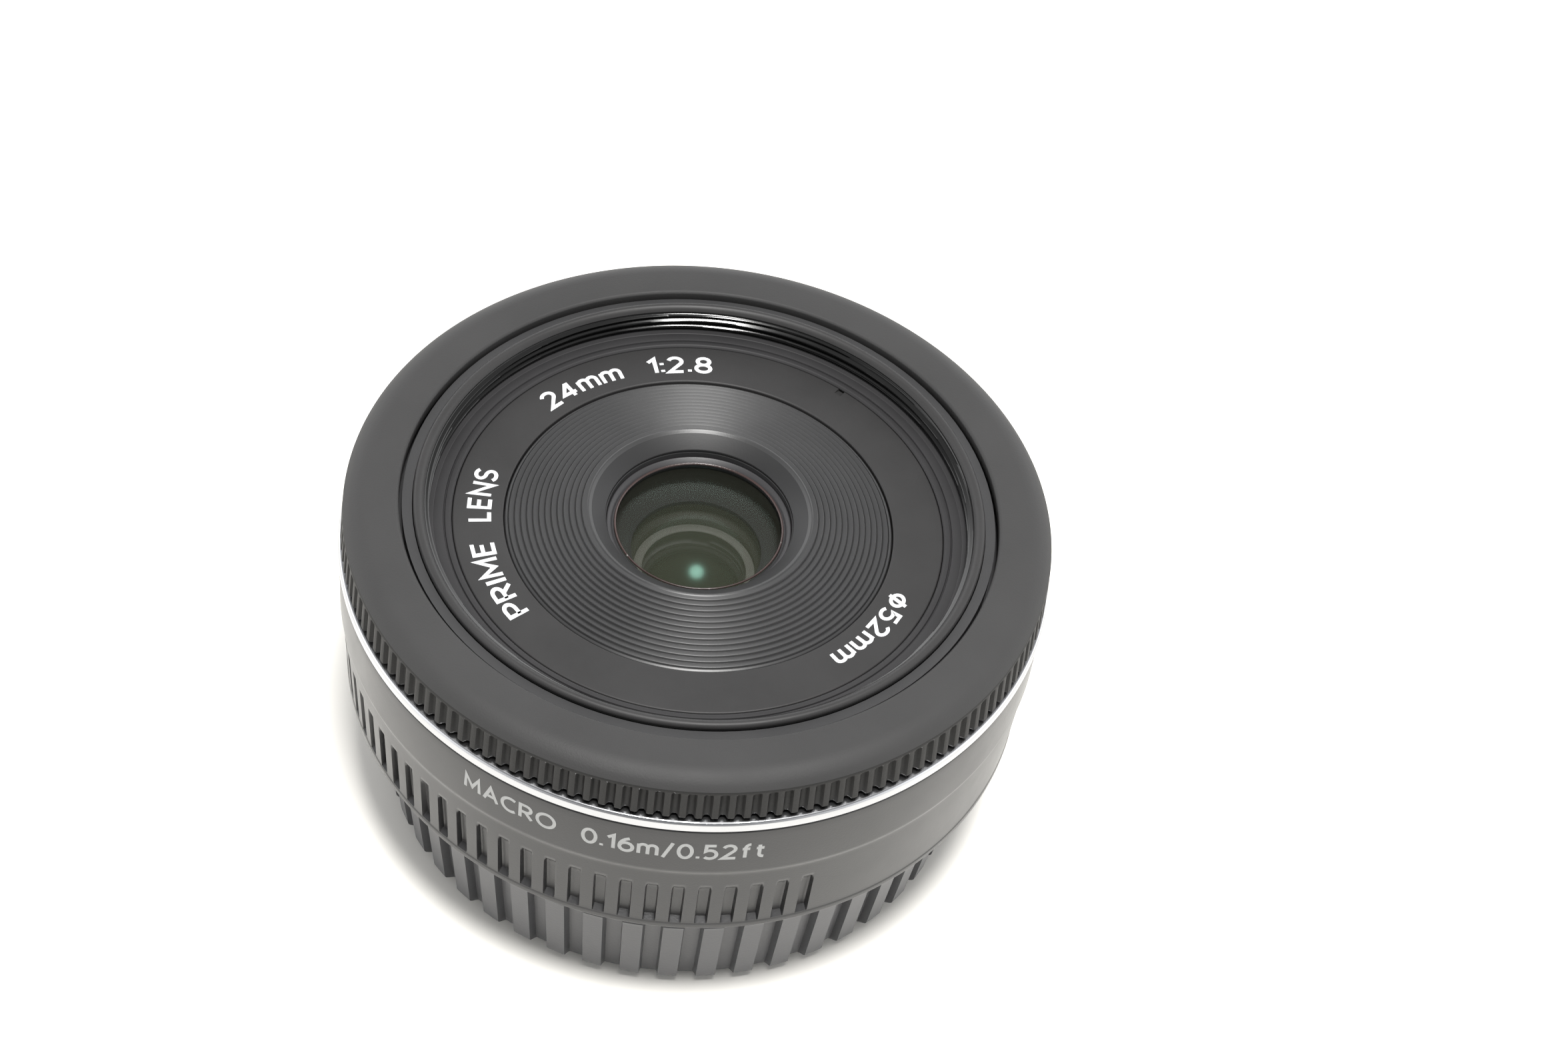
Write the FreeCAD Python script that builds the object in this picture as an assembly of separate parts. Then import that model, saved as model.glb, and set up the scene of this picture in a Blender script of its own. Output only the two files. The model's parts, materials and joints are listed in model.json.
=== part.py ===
"""Prime camera lens, 24 mm f/2.8 pancake, standing on its fitted rear cap.

Millimetres.  +Z runs along the optical axis towards the subject.  The origin is
the centre of the rear cap's bottom face, so the lens stands on z = 0.
Every piece is its own node, written to parts/NODE.step.
"""
import FreeCAD
import Part
import math
import os

# Overall heights
FLANGE_Z = 14.8
FRONT_Z = 37.6
PARTING_Z = 31.2
RIDGE_Z = 25.1

# Overall radii
BARREL_R = 34.0
BARREL_FOOT_R = 33.35
BARREL_BORE_R = 32.5
ACCENT_R = 34.1
FOCUS_RIB_R = 33.85
FOCUS_ROOT_R = 33.2
FOCUS_SHOULDER_R = 33.62
FOCUS_FACE_R = 31.6

# Repeats
FOCUS_RIBS = 148
COMB_TEETH = 60
GRIP_PITCH = 360.0 / 88
CAP_RIBS = 50
BLADES = 7
CONTACTS = 8

# Bayonet
THROAT_R = 24.6
BAYONET_R = 26.1
TAB_R = 27.9
TAB_ANGLES = (90.0, 210.0, 330.0)
TAB_WIDTH = 54.0
CLAW_WIDTH = 46.0

# Focusing drive
FOCUS_TRAVEL = 6.5
CAM_TURN = 80.0
TUBE_IN_R = 20.3
TUBE_OUT_R = 21.3
SKIRT_R = 20.24
CAM_IN_R = 21.36
CAM_OUT_R = 22.6
PIN_R = 1.0
PIN_GAP = 0.04
PIN_Z = 19.6
PIN_ANGLES = (30.0, 150.0, 270.0)
CUP_R = 27.1
CUP_BORE_R = 26.0
COLLAR_BORE_R = 27.17
COLLAR_R = 29.1
RING_GAP = 0.07

# Gears
GEAR_MODULE = 0.3
PRESSURE_ANGLE = math.radians(25)
BACKLASH = 0.07
CAM_TEETH = 172
WHEEL_TEETH = 30
PINION_TEETH = 12
IRIS_TEETH = 90
WHEEL_ANGLE = 230.0
IRIS_PINION_ANGLE = 200.0

# Iris
BLADE_PIVOT_R = 9.0
BLADE_DRIVE_ANGLE = 16.0
BLADE_INNER_R = 5.0
BLADE_OUTER_R = 7.9
BLADE_THICK = 0.07
BLADE_PITCH = 0.12
BLADE_Z = 25.42
BLADE_TURN = 27.0
IRIS_TURN = 36.0
IRIS_PIN_R = 0.30
IRIS_RING_Z = 26.35

# Lens group
NAME_RING_Z = 34.7

# Screws
MOUNT_SCREWS = (45.0, 135.0, 225.0, 315.0)
MOUNT_SCREW_R = 29.0
COLLAR_POSTS = (70.0, 165.0, 310.0)
COLLAR_POST_R = 30.7
CELL_SCREWS = (60.0, 120.0, 300.0)

AXIS = FreeCAD.Vector(0, 0, 1)
ORIGIN = FreeCAD.Vector(0, 0, 0)


def point(r, angle, z):
    """Cartesian point from radius, angle in degrees and height."""
    a = math.radians(angle)
    return FreeCAD.Vector(r * math.cos(a), r * math.sin(a), z)


def turned(profile, start=0.0, sweep=360.0):
    """Solid turned about the optical axis from (radius, height) corners."""
    corners = [FreeCAD.Vector(r, 0, z) for r, z in profile]
    face = Part.Face(Part.makePolygon(corners + corners[:1]))
    solid = face.revolve(ORIGIN, AXIS, sweep)
    return rotated(solid, start)


def ring(r_in, r_out, z0, z1, start=0.0, sweep=360.0):
    """Flat ring, or a sector of one."""
    return turned([(r_in, z0), (r_out, z0), (r_out, z1), (r_in, z1)], start, sweep)


def sector(r_in, r_out, z0, z1, middle, width):
    """Ring sector centred on an angle."""
    return ring(r_in, r_out, z0, z1, middle - width / 2, width)


def post(r, z0, z1, at=ORIGIN):
    """Upright cylinder standing at a point's x and y."""
    return Part.makeCylinder(r, z1 - z0, FreeCAD.Vector(at.x, at.y, z0), AXIS)


def radial_pin(r, r_in, r_out, angle, z):
    """Cylinder lying along a radius."""
    direction = point(1, angle, 0)
    return Part.makeCylinder(r, r_out - r_in, point(r_in, angle, z), direction)


def rotated(shape, angle, centre=ORIGIN):
    """Copy turned about an upright axis through a point."""
    copy = shape.copy()
    copy.rotate(centre, AXIS, angle)
    return copy


def around(shape, angles):
    """Copies of a shape turned to each angle."""
    return [rotated(shape, angle) for angle in angles]


def every(count, start=0.0):
    """Evenly spaced angles."""
    return [start + 360.0 * i / count for i in range(count)]


def joined(first, others):
    """One solid made of overlapping pieces."""
    return first.fuse(others).removeSplitter()


def prism(outline, z0, z1):
    """Upright prism from (x, y) corners."""
    corners = [FreeCAD.Vector(x, y, z0) for x, y in outline]
    face = Part.Face(Part.makePolygon(corners + corners[:1]))
    return face.extrude(FreeCAD.Vector(0, 0, z1 - z0))


def polar_xy(r, angle):
    """(x, y) of a point given by radius and angle in degrees."""
    a = math.radians(angle)
    return (r * math.cos(a), r * math.sin(a))


def tooth_half_angle(teeth, radius):
    """Half angle in degrees of an involute tooth at a radius."""
    pitch_r = GEAR_MODULE * teeth / 2
    base_r = pitch_r * math.cos(PRESSURE_ANGLE)
    at_pitch = (math.pi * GEAR_MODULE / 2 - BACKLASH) / (2 * pitch_r)
    flank = math.acos(min(1.0, base_r / radius))
    involute = math.tan(flank) - flank
    involute_at_pitch = math.tan(PRESSURE_ANGLE) - PRESSURE_ANGLE
    return math.degrees(at_pitch + involute_at_pitch - involute)


def gear_teeth_outline(teeth, first, count):
    """Corners of a run of teeth, the first one centred on an angle."""
    pitch_r = GEAR_MODULE * teeth / 2
    tip_r = pitch_r + 0.8 * GEAR_MODULE
    root_r = pitch_r - 1.05 * GEAR_MODULE
    start_r = max(root_r, pitch_r * math.cos(PRESSURE_ANGLE) + 0.001)
    radii = [start_r + (tip_r - start_r) * k / 3 for k in range(4)]
    if root_r < start_r:
        radii = [root_r] + radii
    corners = []
    for i in range(count):
        middle = first + 360.0 * i / teeth
        for r in radii:
            corners.append(polar_xy(r, middle - tooth_half_angle(teeth, r)))
        for r in reversed(radii):
            corners.append(polar_xy(r, middle + tooth_half_angle(teeth, r)))
    return corners


def gear(teeth, first, z0, z1, at):
    """Whole spur gear at a point."""
    solid = prism(gear_teeth_outline(teeth, first, teeth), z0, z1)
    solid.translate(FreeCAD.Vector(at.x, at.y, 0))
    return solid


def toothed_sector(teeth, middle, count, r_in, z0, z1):
    """Sector of a large gear, with a tooth centred on the middle angle."""
    step = 360.0 / teeth
    first = middle - step * (count // 2)
    last = first + step * (count - 1)
    outline = gear_teeth_outline(teeth, first, count)
    inner = [polar_xy(r_in, last + step / 2 - (last - first + step) * k / 24) for k in range(25)]
    return prism(outline + inner, z0, z1)


def save(name, shape):
    """Write one node; a list becomes a group of separate solids."""
    if isinstance(shape, list):
        shape = Part.makeCompound(shape)
    shape.exportStep("parts/" + name + ".step")


# Rear cap

def rear_cap():
    """Ribbed push-on cap with claws that pass between the bayonet tabs."""
    shell = turned([
        (0, 0.6), (12, 0.6), (12, 0.0), (27.6, 0.0), (28.4, 0.5), (28.7, 1.3), (29.9, 11.2),
        (30.6, 11.4), (30.7, 14.1), (30.4, 14.4), (28.4, 14.4), (28.4, 2.6), (27.6, 1.8), (0, 1.8),
    ])
    rib_profile = turned([
        (28.2, 0.9), (28.9, 0.6), (29.5, 1.4), (30.8, 11.0), (30.65, 11.6), (29.0, 11.6), (28.2, 2.6),
    ], -1.9, 3.8)
    claws = [sector(26.5, 28.6, 13.25, 14.35, a + 60, CLAW_WIDTH) for a in TAB_ANGLES]
    return joined(shell, around(rib_profile, every(CAP_RIBS)) + claws)


# Fixed outside of the lens

def grip_angles():
    """Centres of the grooves in the two grip zones."""
    left = [-66.3 - GRIP_PITCH * i for i in range(26)]
    rear = [160.0 - GRIP_PITCH * i for i in range(16)]
    return left + rear


def outer_barrel():
    """Thin outer shell with two zones of upright grip grooves."""
    shell = turned([
        (30.85, 15.35), (BARREL_FOOT_R, 15.35), (BARREL_FOOT_R + 0.1, 15.6),
        (BARREL_FOOT_R + 0.1, 16.2), (33.8, 24.6), (BARREL_R, RIDGE_Z),
        (BARREL_R, PARTING_Z), (BARREL_BORE_R, PARTING_Z), (BARREL_BORE_R, 16.2), (30.85, 16.2),
    ])
    groove = turned([(33.0, 16.4), (35, 16.2), (35, 22.4), (33.5, 22.4), (33.0, 21.4)], -0.85, 1.7)
    window = sector(32.0, 35, 24.9, 29.5, 25.0, 13.0)
    seat = sector(33.4, 35, 24.6, 30.2, 25.0, 15.6)
    mark_seat = sector(33.0, 35, 15.9, 17.9, 90.0, 3.5)
    solid = shell.cut(around(groove, grip_angles()))
    return solid.cut([window, seat, mark_seat])


def accent_ring():
    """Bright ring between the barrel and the focus ring."""
    return turned([
        (BARREL_BORE_R, PARTING_Z), (33.85, PARTING_Z), (ACCENT_R, PARTING_Z + 0.2),
        (ACCENT_R, 32.25), (33.85, 32.5), (BARREL_BORE_R, 32.55),
    ])


def mount_index():
    """Square inlay that marks where the lens enters the camera."""
    return sector(33.0, 33.62, 15.9, 17.9, 90.0, 3.5)


def screw_points(r, z, angles):
    """Places of screws on a circle."""
    return [point(r, a, z) for a in angles]


def bayonet_mount():
    """Metal flange, male bayonet barrel and three locking tabs."""
    body = turned([
        (THROAT_R, 9.2), (25.9, 9.2), (BAYONET_R, 9.4), (BAYONET_R, FLANGE_Z), (32.2, FLANGE_Z),
        (32.4, 15.0), (32.4, 15.35), (30.85, 15.35), (30.85, 16.2), (THROAT_R, 16.2),
    ])
    tabs = [sector(BAYONET_R - 0.4, TAB_R, 11.7, 13.1, a, TAB_WIDTH) for a in TAB_ANGLES]
    body = joined(body, tabs)
    cuts = [post(0.85, 14.0, 17.0, p) for p in screw_points(MOUNT_SCREW_R, 0, MOUNT_SCREWS)]
    for p in screw_points(MOUNT_SCREW_R, 14.7, MOUNT_SCREWS):
        cuts.append(Part.makeCone(1.65, 0.85, 0.9, p, AXIS))
    cuts.append(post(1.1, 14.0, 15.9, point(29.4, 62, 0)))
    return body.cut(cuts)


def mount_screws():
    """Countersunk screws through the mount into the chassis."""
    screws = []
    for p in screw_points(MOUNT_SCREW_R, 0, MOUNT_SCREWS):
        head = Part.makeCone(1.5, 0.8, 0.75, FreeCAD.Vector(p.x, p.y, 14.85), AXIS)
        shank = post(0.8, 15.5, 17.2, p)
        drive = Part.makeBox(1.9, 0.34, 0.7, FreeCAD.Vector(p.x - 0.95, p.y - 0.17, 14.6))
        across = rotated(drive, 90, p)
        screws.append(joined(head, [shank]).cut([drive, across]))
    return screws


def contact_angles():
    """Places of the electrical contacts."""
    return [270.0 + 7.2 * (i - (CONTACTS - 1) / 2) for i in range(CONTACTS)]


def contact_block():
    """Plastic block inside the mount that carries the contacts."""
    body = sector(21.4, 24.55, 9.5, 12.4, 270.0, 76.0)
    wells = [post(0.8, 9.0, 10.3, point(23.0, a, 0)) for a in contact_angles()]
    fixings = [post(0.6, 9.0, 12.6, point(23.0, a, 0)) for a in (235.2, 304.8)]
    return body.cut(wells + fixings)


def contact_pads():
    """Gold contacts, standing a little proud of the block."""
    return [post(0.75, 9.3, 10.3, point(23.0, a, 0)) for a in contact_angles()]


def contact_screws():
    """Two small screws that hold the contact block."""
    screws = []
    for a in (235.2, 304.8):
        p = point(23.0, a, 0)
        screw = joined(post(0.95, 9.1, 9.5, p), [post(0.55, 9.4, 13.0, p)])
        slot = Part.makeBox(1.6, 0.25, 0.2, FreeCAD.Vector(p.x - 0.8, p.y - 0.12, 9.05))
        screws.append(screw.cut(slot))
    return screws


def rear_baffle():
    """Stepped black ring that closes the back around the rear glass."""
    body = turned([
        (11.2, 14.6), (11.9, 13.9), (13.1, 13.9), (13.1, 13.6), (14.8, 13.6), (14.8, 13.3),
        (16.5, 13.3), (16.5, 13.0), (THROAT_R - 0.05, 13.0), (THROAT_R - 0.05, 16.1),
        (21.5, 16.1), (21.5, 14.2), (12.2, 15.3), (11.2, 15.3),
    ])
    holes = [post(0.58, 12.5, 13.05, point(23.0, a, 0)) for a in (235.2, 304.8)]
    return body.cut(holes)


# Fixed inside of the lens

def wheel_place():
    """Axis of the reduction gear."""
    cam_pitch_r = GEAR_MODULE * CAM_TEETH / 2
    pinion_pitch_r = GEAR_MODULE * PINION_TEETH / 2
    return point(cam_pitch_r + pinion_pitch_r, WHEEL_ANGLE, 0)


def motor_place():
    """Axis of the focusing motor, in mesh with the reduction gear."""
    wheel = wheel_place()
    gap = GEAR_MODULE * (WHEEL_TEETH + PINION_TEETH) / 2
    r_wheel = wheel.Length
    r_motor = 28.4
    cosine = (r_wheel ** 2 + r_motor ** 2 - gap ** 2) / (2 * r_wheel * r_motor)
    return point(r_motor, WHEEL_ANGLE + math.degrees(math.acos(cosine)), 0)


def chassis():
    """Base plate and guide tube, with posts for the collar and the gear."""
    plate = ring(TUBE_IN_R, 32.3, 16.2, 17.4)
    tube = ring(TUBE_IN_R, TUBE_OUT_R, 16.2, 29.0)
    posts = [post(1.3, 17.0, 29.2, p) for p in screw_points(COLLAR_POST_R, 0, COLLAR_POSTS)]
    posts.append(post(1.2, 17.0, 24.7, wheel_place()))
    body = joined(plate, [tube] + posts)
    slot_half = PIN_R + PIN_GAP
    cuts = []
    for a in PIN_ANGLES:
        cuts.append(radial_pin(slot_half, 19, 22, a, PIN_Z - 0.2))
        low = PIN_Z - 0.2
        box = Part.makeBox(3, 2 * slot_half, 30 - low, FreeCAD.Vector(19, -slot_half, low))
        cuts.append(rotated(box, a))
    cuts.append(ring(20.9, 22, 28.25, 28.65))
    cuts += [post(0.8, 15, 17.2, p) for p in screw_points(MOUNT_SCREW_R, 0, MOUNT_SCREWS)]
    cuts += [post(0.6, 26.2, 30, p) for p in screw_points(COLLAR_POST_R, 0, COLLAR_POSTS)]
    cuts.append(post(0.5, 23.0, 25.0, wheel_place()))
    return body.cut(cuts)


def cam_ring_clip():
    """Spring clip that keeps the cam ring on the guide tube."""
    return ring(20.9, 22.2, 28.25, 28.65, 100, 330)


def guide_collar():
    """Front guide for the moving barrel, bearing for the focus ring."""
    body = turned([
        (COLLAR_BORE_R, 29.2), (COLLAR_R, 29.2), (COLLAR_R, 34.5), (30.6, 34.5), (30.6, 35.1),
        (28.1, 35.1), (28.1, 36.9), (COLLAR_BORE_R, 36.9),
    ])
    lugs = [sector(28.5, 32.1, 29.2, 30.2, a, 9.0) for a in COLLAR_POSTS]
    lugs.append(sector(28.5, 31.9, 29.2, 30.0, 130.0, 18.0))
    body = joined(body, lugs)
    return body.cut([post(0.7, 29, 31, p) for p in screw_points(COLLAR_POST_R, 0, COLLAR_POSTS)])


def collar_screws():
    """Pan-head screws that hold the collar on its posts."""
    screws = []
    for p in screw_points(COLLAR_POST_R, 0, COLLAR_POSTS):
        screws.append(joined(post(1.1, 30.2, 30.8, p), [post(0.6, 26.4, 30.4, p)]))
    return screws


def ring_sensor():
    """Two forked light sensors that count the teeth of the focus ring comb."""
    sensors = []
    for a in (125.5, 134.5):
        base = sector(29.35, 31.5, 30.0, 31.2, a, 5.0)
        arms = [sector(29.35, 29.75, 31.0, 32.5, a, 5.0), sector(30.95, 31.5, 31.0, 32.5, a, 5.0)]
        sensors.append(joined(base, arms))
    return sensors


def focus_motor():
    """Stepping motor with a boss round its shaft hole."""
    place = motor_place()
    can = post(4.0, 17.4, 24.0, place)
    boss = post(1.2, 23.8, 24.4, place)
    terminal = sector(30.0, 32.2, 17.4, 18.6, 253.0, 10.0)
    body = joined(can, [boss, terminal.cut(post(3.9, 17, 19, place))])
    return body.cut(post(0.55, 18.2, 25.0, place))


def gear_axle():
    """Steel pin that the reduction gear turns on."""
    return post(0.5, 23.0, 28.4, wheel_place())


def gear_cover():
    """Thin plate over the gears that holds the axle's upper end."""
    plate = sector(24.8, 31.9, 28.3, 28.7, WHEEL_ANGLE + 5, 40.0)
    leg = sector(30.9, 31.9, 17.4, 28.4, WHEEL_ANGLE - 13, 4.0)
    return joined(plate, [leg]).cut(post(0.5, 28, 29, wheel_place()))


def circuit_board():
    """Curved main board on the base plate."""
    board = sector(23.4, 31.9, 18.4, 19.2, 120.0, 80.0)
    feet = [sector(24.2, 25.2, 17.4, 18.6, a, 4.0) for a in (84.0, 120.0, 156.0)]
    return joined(board, feet)


def board_chips():
    """Chips and connector standing on the main board."""
    chips = []
    for a, r, length, width, height in (
        (97.0, 27.6, 5.0, 5.0, 0.9), (112.0, 27.4, 3.2, 4.0, 0.8),
        (127.0, 28.0, 4.6, 3.0, 0.7), (145.0, 27.2, 6.0, 2.4, 1.5),
    ):
        corner = FreeCAD.Vector(r - width / 2, -length / 2, 19.2)
        chips.append(rotated(Part.makeBox(width, length, height, corner), a))
    return chips


def switch_plate():
    """Curved plate round the autofocus switch."""
    plate = sector(33.4, 34.15, 24.7, 30.1, 25.0, 15.3)
    window = sector(32, 36, 26.0, 28.8, 25.0, 9.4)
    return plate.cut(window)


def switch_board():
    """Curved contact board behind the switch, held by two side rails."""
    board = sector(30.5, 31.0, 24.0, 30.0, 25.0, 17.2)
    rails = [sector(30.5, 32.45, 24.0, 30.0, a, 1.4) for a in (17.1, 32.9)]
    return joined(board, rails)


def switch_knob():
    """Sliding knob with its hidden carrier and wiper."""
    start = 25.0 - 2.1
    knob = sector(33.0, 34.9, 26.4, 28.4, start, 4.6)
    grips = [sector(34.7, 35.1, 26.4, 28.4, start + d, 0.35) for d in (-1.4, 0.0, 1.4)]
    carrier = sector(31.6, 33.1, 25.3, 29.1, start, 7.6)
    wiper = sector(31.2, 31.7, 26.6, 28.2, start, 1.6)
    return joined(knob, grips + [carrier, wiper])


# Focus ring

def focus_ring():
    """Ribbed ring that the hand turns."""
    sleeve = turned([
        (31.2, 32.85), (33.1, 32.85), (FOCUS_ROOT_R, 32.95), (FOCUS_ROOT_R, 35.95),
        (FOCUS_SHOULDER_R, 36.25), (33.5, 36.5), (33.0, 37.0), (32.3, 37.4), (FOCUS_FACE_R, FRONT_Z),
        (28.6, FRONT_Z), (28.4, 37.4), (28.4, 36.4), (31.2, 36.4),
    ])
    rib = turned([(33.0, 32.95), (33.75, 32.95), (FOCUS_RIB_R, 33.1), (FOCUS_SHOULDER_R, 36.25),
                  (33.0, 36.25)], -0.62, 1.24)
    return joined(sleeve, around(rib, every(FOCUS_RIBS)))


def encoder_ring():
    """Bearing ring of the focus ring, with the comb its sensors read."""
    body = ring(COLLAR_R + RING_GAP, 31.2, 32.95, 34.3)
    tooth = ring(30.1, 30.6, 31.7, 33.1, -1.5, 3.0)
    return joined(body, around(tooth, every(COMB_TEETH)))


# Focusing drive

def helical_slot():
    """Cutter of one cam slot, following the pin's path in the cam ring."""
    middle_r = (CAM_IN_R + CAM_OUT_R) / 2
    half = PIN_R + PIN_GAP
    lead = math.atan2(FOCUS_TRAVEL, math.radians(CAM_TURN) * middle_r)
    high = half / math.cos(lead)
    helix = Part.makeHelix(FOCUS_TRAVEL * 360.0 / CAM_TURN, FOCUS_TRAVEL, middle_r)
    r0 = CAM_IN_R - 0.4
    r1 = CAM_OUT_R + 0.02
    corners = [(r0, -high), (r1, -high), (r1, high), (r0, high)]
    points = [FreeCAD.Vector(r, 0, z) for r, z in corners]
    outline = Part.makePolygon(points + points[:1])
    sweep = Part.Wire(helix.Edges).makePipeShell([outline], True, True)
    sweep.translate(FreeCAD.Vector(0, 0, PIN_Z))
    ends = [radial_pin(half, r0, r1, 0, PIN_Z), radial_pin(half, r0, r1, CAM_TURN, PIN_Z + FOCUS_TRAVEL)]
    return sweep.fuse(ends)


def cam_ring():
    """Ring with three helical slots and a toothed sector."""
    tube = ring(CAM_IN_R, CAM_OUT_R, 17.7, 28.1)
    slots = around(helical_slot(), PIN_ANGLES)
    web = sector(CAM_OUT_R, 25.4, 26.4, 27.8, WHEEL_ANGLE + CAM_TURN / 2, 100.0)
    first = WHEEL_ANGLE + 360.0 / CAM_TEETH * round(CAM_TURN / 2 * CAM_TEETH / 360.0)
    teeth = toothed_sector(CAM_TEETH, first, 47, 24.6, 26.4, 27.8)
    return joined(tube.cut(slots), [web, teeth])


def reduction_gear():
    """Wheel and pinion in one piece, between the motor and the cam ring."""
    place = wheel_place()
    to_motor = motor_place() - place
    motor_angle = math.degrees(math.atan2(to_motor.y, to_motor.x))
    wheel = gear(WHEEL_TEETH, motor_angle, 24.9, 25.6, place)
    gap_angle = WHEEL_ANGLE + 180.0 + 180.0 / PINION_TEETH
    pinion = gear(PINION_TEETH, gap_angle, 25.5, 28.1, place)
    return joined(wheel, [pinion]).cut(post(0.55, 24, 29, place))


def motor_pinion():
    """Motor shaft and its pinion."""
    place = motor_place()
    to_wheel = wheel_place() - place
    wheel_angle = math.degrees(math.atan2(to_wheel.y, to_wheel.x))
    pinion = gear(PINION_TEETH, wheel_angle + 180.0 / PINION_TEETH, 24.7, 25.8, place)
    return joined(pinion, [post(0.5, 18.5, 26.0, place)])


# Moving barrel

def inner_barrel():
    """Moving barrel: filter thread cup in front, guided skirt behind."""
    body = turned([
        (17.6, 24.7), (19.0, 24.7), (19.0, 18.2), (SKIRT_R, 18.2), (SKIRT_R, 32.6),
        (26.2, 32.6), (26.2, 28.9), (CUP_R, 28.9), (CUP_R, 37.4), (26.9, FRONT_Z),
        (26.5, FRONT_Z), (26.3, 37.5), (CUP_BORE_R, 37.2), (CUP_BORE_R, 34.9), (25.2, 34.9),
        (25.2, 34.85), (24.25, 34.85), (24.2, 34.7), (24.1, 34.85), (23.7, 34.85), (23.45, 34.6),
        (23.45, 33.9), (17.0, 33.9), (17.0, 33.1), (19.0, 32.6), (19.0, 25.5), (17.6, 25.5),
    ])
    holes = [radial_pin(0.7, 18, 21, a, PIN_Z) for a in PIN_ANGLES]
    holes += [post(0.5, 24.0, 25.3, p) for p in screw_points(18.2, 0, CELL_SCREWS)]
    return body.cut(holes)


def cam_followers():
    """Pins that run in the guide tube's slots and the cam ring's slots."""
    pins = []
    for a in PIN_ANGLES:
        head = radial_pin(PIN_R, SKIRT_R, 22.45, a, PIN_Z)
        pins.append(joined(head, [radial_pin(0.7, 19.05, 20.4, a, PIN_Z)]))
    return pins


def name_ring():
    """Flat lettered ring."""
    return turned([
        (18.6, 33.9), (23.4, 33.9), (23.4, 34.6), (23.3, NAME_RING_Z), (18.7, NAME_RING_Z), (18.6, 34.6),
    ])


def front_baffle():
    """Cone of fine concentric grooves rising towards the front glass, with a smooth funnel inside."""
    grooves = 13
    inner_r = 10.76
    high = 36.1
    pitch = (18.2 - inner_r) / grooves
    fall = (high - 34.55) / grooves
    profile = [(8.95, 34.65), (8.95, 34.95), (10.45, 36.0)]
    for i in range(grooves):
        r = inner_r + pitch * i
        z = high - fall * i
        profile.append((r, z))
        profile.append((r + 0.75 * pitch, z - 0.75 * fall))
        profile.append((r + 0.88 * pitch, z - 0.88 * fall - 0.14))
    profile += [(18.2, 34.55), (18.45, 34.45), (18.55, 34.2), (18.55, 33.9), (17.2, 33.9)]
    profile += [(11.0, 35.1), (10.25, 34.65)]
    return turned(profile)


def front_cell():
    """Cell of the two front elements."""
    return turned([
        (6.0, 27.65), (9.6, 27.65), (9.9, 28.0), (9.9, 31.2), (18.9, 31.2), (18.9, 32.55),
        (16.9, 33.05), (16.9, 33.85), (15.0, 33.85), (10.1, 34.0), (10.1, 34.6), (8.9, 34.6),
        (8.9, 33.35), (8.8, 33.3), (8.8, 29.95), (6.85, 29.95), (6.85, 28.5), (6.0, 28.2),
    ])


def front_retainer():
    """Threaded ring that holds the front element."""
    return turned([(8.1, 33.35), (8.85, 33.35), (8.85, 34.0), (8.7, 34.1), (8.25, 33.9)])


def cell_spacer():
    """Ring between the two front elements."""
    return turned([(6.3, 30.05), (6.9, 29.95), (8.75, 29.95), (8.75, 30.45), (6.3, 30.45)])


def arc_points(vertex, radius, edge_r, steps=10):
    """(radius, height) points of a surface; a positive radius bulges forward."""
    points = []
    for i in range(steps + 1):
        r = edge_r * i / steps
        sag = abs(radius) - math.sqrt(radius * radius - r * r)
        points.append((r, vertex - math.copysign(sag, radius)))
    return points


def sphere_face(vertex, radius, edge_r):
    """Arc edge of a lens surface in the XZ plane, from the axis to the edge."""
    ends = arc_points(vertex, radius, edge_r, 2)
    a, b, c = [FreeCAD.Vector(r, 0, z) for r, z in ends]
    return Part.Arc(a, b, c).toShape(), a, c


def element(front, rear, edge_r, front_r=None, rear_r=None):
    """Lens element from (vertex, radius) of its two surfaces."""
    front_r = front_r or edge_r
    rear_r = rear_r or edge_r
    front_arc, front_top, front_end = sphere_face(front[0], front[1], front_r)
    rear_arc, rear_top, rear_end = sphere_face(rear[0], rear[1], rear_r)
    corners = [front_end]
    if front_r < edge_r:
        corners.append(FreeCAD.Vector(edge_r, 0, front_end.z))
    if rear_r < edge_r:
        corners.append(FreeCAD.Vector(edge_r, 0, rear_end.z))
    corners.append(rear_end)
    edges = [front_arc]
    edges += [Part.LineSegment(p, q).toShape() for p, q in zip(corners, corners[1:])]
    edges += [rear_arc, Part.LineSegment(rear_top, front_top).toShape()]
    wire = Part.Wire(Part.__sortEdges__(edges))
    return Part.Face(wire).revolve(ORIGIN, AXIS, 360)


def save_elements():
    """Six elements in five groups, front to rear."""
    save("lens_1", element((34.35, 30.0), (33.2, 9.5), 8.75, 8.75, 6.6))
    save("lens_2", element((30.8, 25.0), (28.2, -60.0), 6.8))
    save("lens_3", element((23.3, -20.0), (22.5, 15.0), 6.2))
    save("lens_4", element((22.5, 15.0), (19.3, -16.0), 6.2))
    save("lens_5", element((19.05, -40.0), (17.2, -14.0), 7.4))
    save("lens_6", element((16.9, -18.0), (15.75, -24.0), 9.0, 8.6))


def rear_cell():
    """Cell of the four rear elements, with a flange for the barrel."""
    body = turned([
        (9.05, 15.95), (9.9, 15.95), (10.3, 16.4), (10.3, 23.7), (18.95, 23.7), (18.95, 24.7),
        (6.25, 24.7), (6.25, 20.3), (5.7, 20.3), (5.7, 19.85), (7.45, 19.85), (7.45, 19.3),
        (9.05, 19.3),
    ])
    motor_hole = post(3.3, 20, 26, point(15.3, IRIS_PINION_ANGLE, 0)).cut(post(10.6, 20, 26))
    screws = [post(0.55, 23, 26, p) for p in screw_points(18.2, 0, CELL_SCREWS)]
    return body.cut([motor_hole] + screws)


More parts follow.
